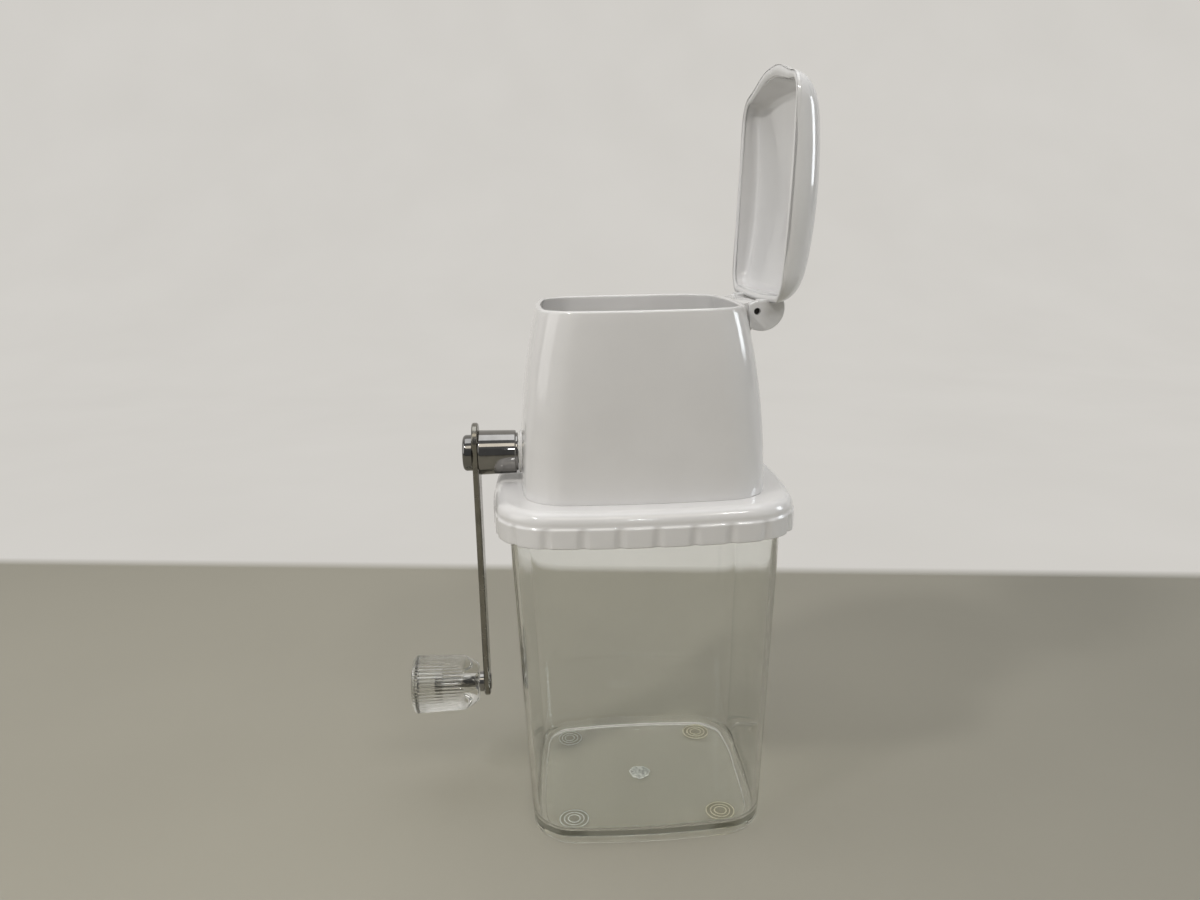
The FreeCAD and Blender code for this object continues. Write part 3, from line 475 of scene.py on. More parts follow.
CHROME = metal("chrome", light=(0.29, 0.283, 0.272), dark=(0.24, 0.234, 0.225), rough=(0.03, 0.09),
               grain=900, stretch=(0.1, 1, 1), depth=0.0008 * MM)
# the nut's chrome is a darker copy of the sleeve's: painted shade for the dark surroundings it mirrors
NUT_CHROME_PAINTED_DARK = metal("nut_chrome_painted_dark", light=(0.24, 0.235, 0.225), dark=(0.18, 0.175, 0.17), rough=(0.04, 0.1),
                  grain=900, stretch=(0.1, 1, 1), depth=0.0008 * MM)
ARM_METAL = metal("arm_nickel", light=(0.28, 0.27, 0.24), dark=(0.22, 0.21, 0.185), rough=(0.16, 0.3),
                  grain=1500, stretch=(1, 1, 0.03), depth=0.004 * MM)
STAINLESS = metal("blade_steel", light=(0.6, 0.6, 0.59), dark=(0.5, 0.5, 0.49), rough=(0.22, 0.36),
                  grain=1300, stretch=(0.05, 1, 1), depth=0.005 * MM)
SHAFT_METAL = metal("shaft_steel", light=(0.55, 0.55, 0.55), dark=(0.42, 0.42, 0.42), rough=(0.18, 0.32),
                    grain=1400, stretch=(0.04, 1, 1), depth=0.005 * MM)
SCREW_METAL = metal("screw_steel", light=(0.5, 0.5, 0.49), dark=(0.3, 0.29, 0.28), rough=(0.25, 0.42),
                    grain=1800, stretch=(1, 1, 1), depth=0.008 * MM)
PIN_METAL = metal("dark_pin", light=(0.06, 0.058, 0.055), dark=(0.035, 0.034, 0.033), rough=(0.3, 0.5),
                  grain=1500, stretch=(1, 0.05, 1), depth=0.005 * MM)
GATE_FROST = frosted("gate_frost", deep=(0.3, 0.32, 0.31), light=(0.95, 0.96, 0.95), grain=700,
                     see_through=0.4)
RIDGE_FROST = frosted("gate_ridge_frost", deep=(0.55, 0.56, 0.54), light=(1.0, 1.0, 0.98), grain=600)
RING_FROST = frosted("pad_ring_frost", deep=(0.8, 0.82, 0.81), light=(0.97, 0.98, 0.97), grain=700)
RING_AGED = frosted("pad_ring_aged", deep=(0.78, 0.72, 0.56), light=(0.95, 0.9, 0.76), grain=700)


# ---- outlines ----

class Form:
    """A rectangle with bulging sides and round corners: the level outline of a moulding."""

    def __init__(self, half_x, half_y, corner_r, bow, count=OUTLINE_POINTS):
        self.half_x = half_x
        self.half_y = half_y
        self.corner_r = corner_r
        self.bow = bow
        self.count = count

    def arcs(self, inset):
        """The nine arcs round it, from the middle of the front: centre, radius, start and end angle."""
        half_x = self.half_x - inset
        half_y = self.half_y - inset
        corner_r = self.corner_r - inset
        side_x = (half_y - corner_r) ** 2 / (2 * self.bow)
        side_y = (half_x - corner_r) ** 2 / (2 * self.bow)
        centre_x = Vector((half_x - side_x, 0))
        centre_y = Vector((0, half_y - side_y))
        between = centre_y - centre_x
        away_x = side_x - corner_r
        away_y = side_y - corner_r
        foot = (away_x ** 2 - away_y ** 2 + between.length_squared) / (2 * between.length)
        along = between.normalized()
        across = Vector((-along.y, along.x))
        corner = centre_x + along * foot + across * math.sqrt(away_x ** 2 - foot ** 2)
        # a corner's arc begins at angle a, where the side's ends, and ends at b, where the back's begins
        a = math.atan2(corner.y, corner.x - centre_x.x)
        b = math.atan2(corner.y - centre_y.y, corner.x)
        half = math.pi
        return [
            (0, -centre_y.y, side_y, -QUARTER, -b),
            (corner.x, -corner.y, corner_r, -b, -a),
            (centre_x.x, 0, side_x, -a, a),
            (corner.x, corner.y, corner_r, a, b),
            (0, centre_y.y, side_y, b, half - b),
            (-corner.x, corner.y, corner_r, half - b, half - a),
            (-centre_x.x, 0, side_x, half - a, half + a),
            (-corner.x, -corner.y, corner_r, half + a, half + b),
            (0, -centre_y.y, side_y, half + b, 3 * QUARTER),
        ]

    def ring(self, z, inset=0.0, grow=0.0, dent=None):
        """Evenly spaced points round the outline at a height. A dent gives each one's depth inwards."""
        left = Form(self.half_x + grow, self.half_y + grow, self.corner_r, self.bow).arcs(inset)
        total = sum(radius * (end - start) for _, _, radius, start, end in left)
        points = []
        passed = 0.0
        for i in range(self.count):
            distance = total * i / self.count
            while len(left) > 1 and distance > passed + left[0][2] * (left[0][4] - left[0][3]):
                passed += left[0][2] * (left[0][4] - left[0][3])
                left.pop(0)
            x, y, radius, start, _ = left[0]
            angle = start + (distance - passed) / radius
            reach = radius - (dent(i / self.count, total) if dent else 0.0)
            points.append(Vector((x + reach * math.cos(angle), y + reach * math.sin(angle), z)))
        return points


def scaled(ring, factor, z):
    """The same outline shrunk towards the Z axis, at another height."""
    return [Vector((p.x * factor, p.y * factor, z)) for p in ring]


def turns(count):
    """The angles of evenly spaced points round a circle."""
    return [2 * math.pi * i / count for i in range(count)]


def circle(radius, z, x, y, count):
    """Points round an upright line."""
    return [Vector((x + radius * math.cos(turn), y + radius * math.sin(turn), z)) for turn in turns(count)]


def quarter_turn(radius, steps=6):
    """Points round a rounded edge, from its side to its face: how far along the side, how far drawn in."""
    points = []
    for i in range(steps + 1):
        turn = QUARTER * i / steps
        points.append((radius * math.sin(turn), radius * (1 - math.cos(turn))))
    return points


def levels(low, high, count):
    """Evenly spaced values, both ends included."""
    return [low + (high - low) * i / count for i in range(count + 1)]


def smooth_step(value):
    value = min(max(value, 0.0), 1.0)
    return value * value * (3 - 2 * value)


def waves(turn, parts, level):
    """Waves round a circle, added to a level. Each part is their count, height and start."""
    return sum((height * math.sin(count * turn + start) for count, height, start in parts), level)


# ---- meshes ----

def skin(rings, closed=False, cap_first=False, cap_last=False):
    """A surface through rings of equally many points."""
    mesh = bmesh.new()
    rows = [[mesh.verts.new(point) for point in ring] for ring in rings]
    pairs = list(zip(rows, rows[1:]))
    if closed:
        pairs.append((rows[-1], rows[0]))
    for low, high in pairs:
        for i in range(len(low)):
            j = (i + 1) % len(low)
            mesh.faces.new((low[i], low[j], high[j], high[i]))
    if cap_first:
        mesh.faces.new(list(reversed(rows[0])))
    if cap_last:
        mesh.faces.new(rows[-1])
    bmesh.ops.recalc_face_normals(mesh, faces=mesh.faces)
    return mesh


def capped(rings):
    return skin(rings, cap_first=True, cap_last=True)


def prism(outline, direction):
    """A solid drawn out from a flat outline."""
    return capped([outline, [point + direction for point in outline]])


def upright(profile, x, y, count):
    """A piece turned about an upright line. The profile is radius and height."""
    return capped([circle(radius, z, x, y, count) for radius, z in profile])


def hoop(radius, width, z, x, y):
    """A thin round ring lying flat, diamond-shaped in section."""
    section = [(radius - width, z), (radius, z - width), (radius + width, z), (radius, z + width)]
    return skin([circle(at, height, x, y, HOOP_POINTS) for at, height in section], closed=True)


def turned(profile, z, count=TURNED_POINTS, dent=None, closed=True):
    """A piece turned about a line along X. The profile is X, radius and how much of the dent shows there."""
    rings = []
    for x, radius, *share in profile:
        ring = []
        for i, turn in enumerate(turns(count)):
            reach = radius - (dent(i / count) * share[0] if dent else 0.0)
            ring.append(Vector((x, reach * math.cos(turn), z + reach * math.sin(turn))))
        rings.append(ring)
    return skin(rings, closed=closed, cap_first=not closed, cap_last=not closed)


def new_object(name, mesh, material=None):
    """A linked object made of a mesh, which is used up. With a material it is smooth all over."""
    data = bpy.data.meshes.new(name)
    mesh.to_mesh(data)
    mesh.free()
    if material:
        data.polygons.foreach_set("use_smooth", [True] * len(data.polygons))
        data.materials.append(material)
    made = bpy.data.objects.new(name, data)
    bpy.context.scene.collection.objects.link(made)
    return made


def add_piece(name, mesh, body, material, replaced=(), sharp_degrees=SHARP_DEGREES, bevel=0.0):
    """Makes an object of a mesh, smooth but for its sharp edges, and ties it to the frame."""
    piece = new_object(name, mesh, material)
    if bevel:
        rounding = piece.modifiers.new("edges", "BEVEL")
        rounding.width = bevel
        rounding.segments = 3
        rounding.limit_method = "ANGLE"
        rounding.angle_limit = math.radians(sharp_degrees)
        rounding.harden_normals = True
    else:
        piece.data.set_sharp_from_angle(angle=math.radians(sharp_degrees))
    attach(piece, body)
    if replaced:
        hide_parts(*replaced)
    return piece


def cut_out(piece, cutter_mesh):
    """Takes a cutter's shape out of a piece."""
    cutter = new_object("cutter", cutter_mesh)
    cut = piece.modifiers.new("cut", "BOOLEAN")
    cut.operation = "DIFFERENCE"
    cut.object = cutter
    bpy.context.view_layer.update()
    whole = piece.evaluated_get(bpy.context.evaluated_depsgraph_get())
    result = bpy.data.meshes.new_from_object(whole)
    piece.modifiers.clear()
    piece.data = result
    bpy.data.objects.remove(cutter)
    result.set_sharp_from_angle(angle=math.radians(SHARP_DEGREES))


# ---- container and pads ----

def edge_wave(weight):
    """The slight unevenness of a moulded edge, which breaks up its highlights."""
    def dent(fraction, total):
        return weight * EDGE_WAVE * waves(2 * math.pi * fraction, EDGE_WAVES, 0.0)
    return dent


def container_outside(form):
    """From the middle of the recess under the floor, round the foot ring, up the wall and over the rim."""
    recess = form.ring(0, RECESS_W)
    rings = [scaled(recess, factor, RECESS_H) for factor in (0.02, 0.2, 0.45, 0.7, 0.9, 0.985)]
    rings.append(scaled(recess, 1.0, RECESS_H - RECESS_TOP_BREAK))
    rings.append(scaled(recess, 1.0, RECESS_FOOT_BREAK))
    rings.append(form.ring(0, RECESS_W - RECESS_FOOT_BREAK))
    for along, drawn_in in reversed(quarter_turn(BASE_EDGE_R, 8)):
        z = BASE_EDGE_R - along
        rings.append(form.ring(z, drawn_in, CONTAINER_DRAFT * z, edge_wave(drawn_in / BASE_EDGE_R)))
    rim_low = CONTAINER_TOP - CONTAINER_RIM_R
    for z in levels(BASE_EDGE_R, rim_low, CONTAINER_ROWS)[1:]:
        rings.append(form.ring(z, 0, CONTAINER_DRAFT * z))
    for along, drawn_in in quarter_turn(CONTAINER_RIM_R, 4)[1:]:
        z = rim_low + along
        rings.append(form.ring(z, drawn_in, CONTAINER_DRAFT * z))
    return rings


def container_inside(form):
    """Down the inside of the wall, round its fillet and in to the middle of the floor."""
    rings = []
    fillet_top = FLOOR_TOP + FLOOR_EDGE_R
    for z in levels(CONTAINER_TOP, fillet_top, CONTAINER_ROWS):
        rings.append(form.ring(z, CONTAINER_WALL, CONTAINER_DRAFT * z))
    for along, drawn_in in quarter_turn(FLOOR_EDGE_R, 10)[1:]:
        z = fillet_top - along
        wave = edge_wave(math.sin(math.pi * drawn_in / FLOOR_EDGE_R))
        rings.append(form.ring(z, CONTAINER_WALL + drawn_in, CONTAINER_DRAFT * z, wave))
    floor_edge = rings[-1]
    rings += [scaled(floor_edge, factor, FLOOR_TOP) for factor in (0.93, 0.7, 0.45, 0.2, 0.02)]
    return rings


def make_container():
    form = Form(BASE_HALF_X, BASE_HALF_Y, CONTAINER_CORNER_R, CONTAINER_BOW, CONTAINER_POINTS)
    mesh = capped(container_outside(form) + container_inside(form))
    add_piece("container_body", mesh, "container", CLEAR, ["container"])


def make_gate_mark():
    """A shallow scarred disc with the broken stub of the feed, and a ragged ridge round it."""
    top = RECESS_H - GATE_GAP
    scar = upright([(share * GATE_R, top - drop * MM) for share, drop in GATE_PROFILE], 0, 0, GATE_POINTS)
    make_ragged(scar)
    add_piece("gate_mark", scar, "container", GATE_FROST)
    ridge = hoop(GATE_RIDGE_R, GATE_RIDGE_W, top - GATE_RIDGE_W, 0, 0)
    make_ragged(ridge)
    add_piece("gate_ridge", ridge, "container", RIDGE_FROST)


def make_ragged(mesh):
    """Pushes a round outline about the Z axis in and out a little, as where plastic was torn off."""
    for corner in mesh.verts:
        factor = waves(math.atan2(corner.co.y, corner.co.x), GATE_WAVES, 1.0)
        corner.co.x *= factor
        corner.co.y *= factor


def make_foot_pads():
    """Four soft clear discs in the recess under the floor. Those on the far side have yellowed."""
    for sx in (-1, 1):
        for sy in (-1, 1):
            make_foot_pad(sx, sy)


def make_foot_pad(sx, sy):
    """A disc with three thin frosted rings moulded into it, near its upper face."""
    top = RECESS_H + PAD_SINK
    profile = [(PAD_MIDDLE_R, 0), (PAD_R - PAD_LOW_EDGE_R, 0), (PAD_R - PAD_LOW_BREAK, PAD_LOW_BREAK),
               (PAD_R, PAD_LOW_EDGE_R), (PAD_R, top - PAD_HIGH_EDGE_R),
               (PAD_R - PAD_HIGH_BREAK, top - PAD_HIGH_BREAK), (PAD_R - PAD_HIGH_EDGE_R, top)]
    side = "crank" if sx < 0 else "far"
    end = "front" if sy < 0 else "back"
    gel = GEL if sx < 0 else GEL_AGED
    frost = RING_FROST if sx < 0 else RING_AGED
    disc = upright(profile, sx * PAD_X, sy * PAD_Y, PAD_POINTS)
    replaced = ["foot_pads"] if (sx, sy) == (-1, -1) else []
    add_piece(f"foot_pad_{side}_{end}", disc, "container", gel, replaced)
    for i, radius in enumerate(PAD_RING_RS):
        ring = hoop(radius, PAD_RING_W, RECESS_H - PAD_RING_DROP, sx * PAD_X, sy * PAD_Y)
        add_piece(f"pad_ring_{side}_{end}_{i + 1}", ring, "container", frost)


# ---- collar ----

def groove_dent(weight):
    """The scallops round the skirt: narrow round-bottomed grooves between broad lobes."""
    def dent(fraction, total):
        pitch = total / GROOVE_COUNT
        place = (fraction * GROOVE_COUNT - GROOVE_SHIFT / pitch + 0.5) % 1.0 - 0.5
        off = abs(place) * pitch / GROOVE_HALF_W
        return weight * GROOVE_DEPTH * smooth_step(1 - off) if off < 1 else 0.0
    return dent


def collar_outside(form):
    """Round the skirt's lower edge, up its scallops, over the ledge and round the shoulder."""
    rings = [form.ring(COLLAR_BOTTOM + SKIRT_INNER_BREAK, SKIRT_WALL),
             form.ring(COLLAR_BOTTOM, SKIRT_WALL - SKIRT_INNER_BREAK)]
    for along, drawn_in in reversed(quarter_turn(SKIRT_EDGE_R, 4)):
        rings.append(form.ring(COLLAR_BOTTOM + SKIRT_EDGE_R - along, drawn_in, dent=groove_dent(1)))
    groove_height = LEDGE + GROOVE_END - COLLAR_BOTTOM
    skirt = [(z, 0.0) for z in levels(COLLAR_BOTTOM + SKIRT_EDGE_R, LEDGE - LEDGE_START, SKIRT_ROWS)[1:]]
    ledge = [(LEDGE + rise * MM, part * MM) for rise, part in LEDGE_CURVE]
    for z, drawn_in in skirt + ledge:
        share = min(1.0, (z - COLLAR_BOTTOM) / groove_height)
        rings.append(form.ring(z, drawn_in, dent=groove_dent(math.sqrt(1 - share ** 2))))
    for along, drawn_in in quarter_turn(SHOULDER_R, 14):
        rings.append(form.ring(COLLAR_TOP - SHOULDER_R + along, LEDGE_W + drawn_in))
    rings.append(form.ring(COLLAR_TOP, LEDGE_W + 2 * SHOULDER_R))
    return rings


def collar_inside(form):
    """Down the throat, round the spigot that centres the collar in the container, and out to the skirt."""
    throat = Form(THROAT_HALF_X, THROAT_HALF_Y, THROAT_CORNER_R, THROAT_BOW, COLLAR_POINTS)
    spigot = Form(BASE_HALF_X, BASE_HALF_Y, CONTAINER_CORNER_R, CONTAINER_BOW, COLLAR_POINTS)
    low = WEB_UNDER - SPIGOT_DEPTH
    grow = CONTAINER_DRAFT * low
    inner = SPIGOT_INSET + SPIGOT_WALL
    return [
        throat.ring(COLLAR_TOP, -THROAT_BREAK),
        throat.ring(COLLAR_TOP - THROAT_BREAK),
        throat.ring(WEB_UNDER),
        spigot.ring(WEB_UNDER, inner, grow),
        spigot.ring(low, inner, grow),
        spigot.ring(low, SPIGOT_INSET, grow),
        spigot.ring(WEB_UNDER, SPIGOT_INSET, grow),
        form.ring(WEB_UNDER, SKIRT_WALL),
    ]


def make_collar():
    form = Form(COLLAR_HALF_X, COLLAR_HALF_Y, COLLAR_CORNER_R, COLLAR_BOW, COLLAR_POINTS)
    mesh = skin(collar_outside(form) + collar_inside(form), closed=True)
    add_piece("collar_body", mesh, "head", WHITE, ["collar_ring"])


# ---- hopper ----

def hopper_form(z):
    """The hopper's outline at a height: upright low down, drawn in towards the rim."""
    rise = min(max((z - COLLAR_TOP) / (HOPPER_RIM - COLLAR_TOP), 0.0), 1.0)
    share = rise ** HOPPER_TAPER_POWER
    return Form(HOPPER_HALF_X - HOPPER_TAPER_X * share, HOPPER_HALF_Y - HOPPER_TAPER_Y * share,
                HOPPER_CORNER_R, HOPPER_BOW)


def hopper_ring(z, inset=0.0):
    return hopper_form(z).ring(z, inset)


def make_hopper_shell():
    """The wall: up the outside, over the rim and down the inside, with the crank-side bush's hole."""
    rim_low = HOPPER_RIM - RIM_EDGE_R
    rings = [hopper_ring(HOPPER_FOOT, HOPPER_WALL)]
    for along, drawn_in in reversed(quarter_turn(HOPPER_FOOT_R, 4)):
        rings.append(hopper_ring(HOPPER_FOOT + HOPPER_FOOT_R - along, drawn_in))
    for z in levels(HOPPER_FOOT + HOPPER_FOOT_R, rim_low, HOPPER_ROWS)[1:]:
        rings.append(hopper_ring(z))
    for along, drawn_in in quarter_turn(RIM_EDGE_R)[1:]:
        rings.append(hopper_ring(rim_low + along, drawn_in))
    for along, drawn_in in reversed(quarter_turn(RIM_EDGE_R)):
        rings.append(hopper_ring(rim_low + along, HOPPER_WALL - drawn_in))
    for z in levels(rim_low, HOPPER_FOOT, HOPPER_ROWS)[1:-1]:
        rings.append(hopper_ring(z, HOPPER_WALL))
    mesh = skin(rings, closed=True)
    shell = add_piece("hopper_body", mesh, "head", WHITE, ["hopper_shell"])
    bore = [(-HOPPER_HALF_X - BORE_OVERCUT, CRANK_BUSH_R), (-BEARING_INNER_X, CRANK_BUSH_R)]
    cut_out(shell, turned(bore, SHAFT_Z, closed=False))


def make_comb_shelves():
    """The two shelves inside the hopper that carry the combs."""
    wall = [p for p in hopper_form(SHELF_TOP).ring(HOPPER_FOOT, HOPPER_WALL - SHELF_SINK)
            if abs(p.x) < SHELF_HALF_X and p.y > SHELF_INNER_Y + SHELF_CORNER]
    wall.sort(key=lambda p: -p.x)
    back = wall + [Vector((-SHELF_HALF_X, SHELF_INNER_Y, HOPPER_FOOT)),
                   Vector((SHELF_HALF_X, SHELF_INNER_Y, HOPPER_FOOT))]
    front = [Vector((p.x, -p.y, p.z)) for p in reversed(back)]
    rise = Vector((0, 0, SHELF_TOP - HOPPER_FOOT))
    for name, outline in (("back", back), ("front", front)):
        mesh = prism(outline, rise)
        add_piece(f"hopper_shelf_{name}", mesh, "head", WHITE, bevel=SHELF_BEVEL)


def make_bearing_bosses():
    """The bosses inside the hopper that hold the shaft's bushes."""
    far_wall_x = hopper_form(SHAFT_Z).half_x - BEARING_SINK
    for name, side, wall_x, bush_r in (("crank", -1, -HOPPER_HALF_X, CRANK_BUSH_R),
                                       ("far", 1, far_wall_x, FAR_BUSH_R)):
        outer_r = bush_r + BEARING_WALL
        inner_x = side * BEARING_INNER_X
        profile = [(wall_x, bush_r), (wall_x, outer_r), (inner_x + side * BEARING_BREAK, outer_r),
                   (inner_x, outer_r - BEARING_BREAK), (inner_x, bush_r)]
        add_piece(f"hopper_boss_{name}", turned(profile, SHAFT_Z), "head", WHITE)


def round_pin(radius, y, turn):
    """A point some way from the hinge pin's line, at an angle from +X towards +Z."""
    return Vector((PIN_X + radius * math.cos(turn), y, PIN_Z + radius * math.sin(turn)))


def make_knuckle():
    """The hopper's half of the hinge: a barrel carried by a gusset out of the wall."""
    half = HINGE_HALF_Y - LUG_T - KNUCKLE_GAP
    wall_x = hopper_form(PIN_Z).half_x - 0.5 * HOPPER_WALL
    low_x = hopper_form(PIN_Z - KNUCKLE_DROP).half_x
    outline = [Vector((wall_x, -half, PIN_Z + 0.8 * KNUCKLE_R))]
    for degrees in range(100, -61, -10):
        outline.append(round_pin(KNUCKLE_R, -half, math.radians(degrees)))
    outline.append(Vector((low_x - KNUCKLE_SINK, -half, PIN_Z - KNUCKLE_DROP)))
    outline.append(Vector((low_x - 0.5 * HOPPER_WALL, -half, PIN_Z - KNUCKLE_DROP)))
    mesh = prism(outline, Vector((0, 2 * half, 0)))
    knuckle = add_piece("hopper_knuckle", mesh, "head", WHITE, bevel=KNUCKLE_BEVEL)
    bore_for_pin(knuckle, -half, half, KNUCKLE_BORE_R)


def bore_for_pin(piece, y0, y1, radius):
    """Opens the pin's hole through a piece of the hinge that reaches from y0 to y1."""
    ends = (y0 - PIN_OVERCUT, y1 + PIN_OVERCUT)
    cut_out(piece, capped([[round_pin(radius, y, turn) for turn in turns(PIN_BORE_POINTS)] for y in ends]))


# ---- lid ----

def lid_point(point, inset, roll_r, crown, sphere_r):
    """Lifts a point of the lid's plan to the lid's surface: a rolled edge under a shallow crown."""
    height = crown - (point.x ** 2 + point.y ** 2) / (2 * sphere_r)
    if inset < roll_r:
        height -= roll_r - math.sqrt(roll_r ** 2 - (roll_r - inset) ** 2)
    return Vector((point.x, point.y, height))


def thumb_bump(point, wall):
    """Swells the lid's free end outwards along its rim, in a smooth wave that dies out up the side."""
    across = smooth_step((BUMP_HALF_W - wall - abs(point.y)) / BUMP_EASE)
    height = point.z + wall
    up = 1 - smooth_step((height - BUMP_LOW_H) / (BUMP_TOP_H - BUMP_LOW_H))
    end = smooth_step((-point.x - BUMP_START_X) / BUMP_RUN)
    reach = BUMP_INNER_REACH if wall else BUMP_REACH
    return Vector((point.x - reach * across * up * end, point.y, point.z))


def lid_rings(wall, roll_r, crown, sphere_r):
    """Rings from the rim up the side, over the rolled edge and in to the middle of the crown."""
    def outline(drawn_in):
        share = drawn_in / roll_r
        corner_r = LID_CORNER_R - wall + (LID_CROWN_CORNER_R - LID_CORNER_R) * share
        inset = wall + drawn_in
        return Form(LID_HALF_X - inset, LID_HALF_Y - inset, corner_r, LID_BOW).ring(0)

    top_of_side = [lid_point(p, 0, roll_r, crown, sphere_r) for p in outline(0)]
    rings = []
    for share in (0.0, 0.2, 0.4, 0.6, 0.8, 1.0):
        rings.append([Vector((p.x, p.y, max(p.z, LID_LEAST_H) * share)) for p in top_of_side])
    for _, drawn_in in quarter_turn(roll_r, 18)[1:]:
        rings.append([lid_point(p, drawn_in, roll_r, crown, sphere_r) for p in outline(drawn_in)])
    inner = outline(roll_r)
    for factor in (0.94, 0.86, 0.76, 0.64, 0.5, 0.36, 0.22, 0.1, 0.02):
        rings.append([lid_point(p * factor, roll_r, roll_r, crown, sphere_r) for p in inner])
    return [[thumb_bump(p, wall) for p in ring] for ring in rings]


def rim_point(start, end, away, height):
    """A point of the lid's flat rim, some way from one edge towards the other, at a height."""
    point = start.lerp(end, away / LID_WALL)
    point.z = height
    return point


def lid_open(point):
    """From the shut lid, height over its seat, to its place standing open on the hinge."""
    x = point.x - PIN_X
    z = point.z + LID_SEAT - PIN_Z
    return Vector((PIN_X + x * math.cos(LID_OPEN) + z * math.sin(LID_OPEN), point.y,
                   PIN_Z - x * math.sin(LID_OPEN) + z * math.cos(LID_OPEN)))


def make_lid():
    """The lid: its outside down to the rim, the rim with both edges rounded, and its inside."""
    outer = lid_rings(0.0, LID_EDGE_R, LID_CROWN, LID_SPHERE_R)
    inner = lid_rings(LID_WALL, LID_INNER_EDGE_R, LID_CROWN - LID_CROWN_WALL, LID_SPHERE_R - LID_CROWN_WALL)
    rings = list(reversed(outer))
    outer_rim = rings.pop()
    inner_rim = inner.pop(0)
    lip = LID_LIP_R
    rounding = [(0.0, lip), (0.13 * lip, 0.5 * lip), (0.5 * lip, 0.13 * lip), (lip, 0.0)]
    for away, height in rounding:
        rings.append([rim_point(a, b, away, height) for a, b in zip(outer_rim, inner_rim)])
    for away, height in reversed(rounding):
        rings.append([rim_point(b, a, away, height) for a, b in zip(outer_rim, inner_rim)])
    rings += inner
    mesh = capped([[lid_open(p) for p in ring] for ring in rings])
    add_piece("lid_body", mesh, "lid", LID_WHITE, ["lid_shell"])


def lug_outline(y):
    """A D shape in X and Z: a flat that stops on the wall, a broad round back and a nose round the pin."""
    centre_x = PIN_X + LUG_DX
    centre_z = PIN_Z + LUG_DZ
    top_z = PIN_Z + LUG_TOP_DZ
    low_turn = -math.pi + math.acos((LUG_DX + LUG_FLAT_DX) / LUG_R)
    high_turn = math.asin((top_z - centre_z) / LUG_R)
    outline = []
    for turn in levels(low_turn, high_turn, 28):
        outline.append(Vector((centre_x + LUG_R * math.cos(turn), y, centre_z + LUG_R * math.sin(turn))))
    outline.append(Vector((PIN_X, y, top_z)))
    nose_end = math.pi - math.acos(LUG_FLAT_DX / LUG_NOSE_R)
    for turn in levels(QUARTER, nose_end, 6):
        outline.append(round_pin(LUG_NOSE_R, y, turn))
    return outline


def make_lugs():
    """The lid's two lugs, which carry the pin."""
    for name, y in (("front", -HINGE_HALF_Y), ("back", HINGE_HALF_Y - LUG_T)):
        mesh = prism(lug_outline(y), Vector((0, LUG_T, 0)))
        lug = add_piece(f"lid_lug_{name}", mesh, "lid", LID_WHITE, bevel=LUG_BEVEL)
        bore_for_pin(lug, y, y + LUG_T, PIN_HOLE_R)


# ---- crank ----

def make_sleeve():
    """The chromed sleeve on the shaft, slightly tapered, with a narrower lip against the bush."""
    edge = quarter_turn(SLEEVE_EDGE_R)
    profile = [(SLEEVE_ARM_X, SLEEVE_BORE_R), (SLEEVE_ARM_X, SLEEVE_ARM_R - SLEEVE_EDGE_R)]
    for along, drawn_in in list(reversed(edge))[1:]:
        profile.append((SLEEVE_ARM_X + SLEEVE_EDGE_R - along, SLEEVE_ARM_R - drawn_in))
    for along, drawn_in in edge:
        profile.append((SLEEVE_WALL_X - SLEEVE_EDGE_R + along, SLEEVE_WALL_R - drawn_in))
    profile += [(SLEEVE_WALL_X, SLEEVE_LIP_R), (SLEEVE_LIP_X - SLEEVE_LIP_BREAK, SLEEVE_LIP_R),
                (SLEEVE_LIP_X, SLEEVE_LIP_R - SLEEVE_LIP_BREAK), (SLEEVE_LIP_X, SLEEVE_BORE_R)]
    add_piece("sleeve_body", turned(profile, SHAFT_Z), "crank", CHROME, ["crank_sleeve"])


def make_cap_nut():
    """The domed nut that holds the arm on the shaft."""
    profile = [(NUT_INNER_X, NUT_BREAK), (NUT_INNER_X, NUT_R - NUT_BREAK), (NUT_INNER_X - NUT_BREAK, NUT_R)]
    for along, drawn_in in quarter_turn(NUT_DOME_R, 8):
        profile.append((NUT_OUTER_X + NUT_DOME_R - along, NUT_R - drawn_in))
    profile += [(NUT_OUTER_X - 0.6 * NUT_CROWN, 0.5 * NUT_R), (NUT_OUTER_X - NUT_CROWN, NUT_BREAK)]
    mesh = turned(profile, SHAFT_Z, closed=False)
    add_piece("nut_body", mesh, "crank", NUT_CHROME_PAINTED_DARK, ["cap_nut"])


def flute(fraction):
    """How deep the knob's flutes are at a place round it, as a fraction of the turn."""
    return FLUTE_DEPTH * (0.5 - 0.5 * math.cos(2 * math.pi * fraction * FLUTE_COUNT)) ** 2


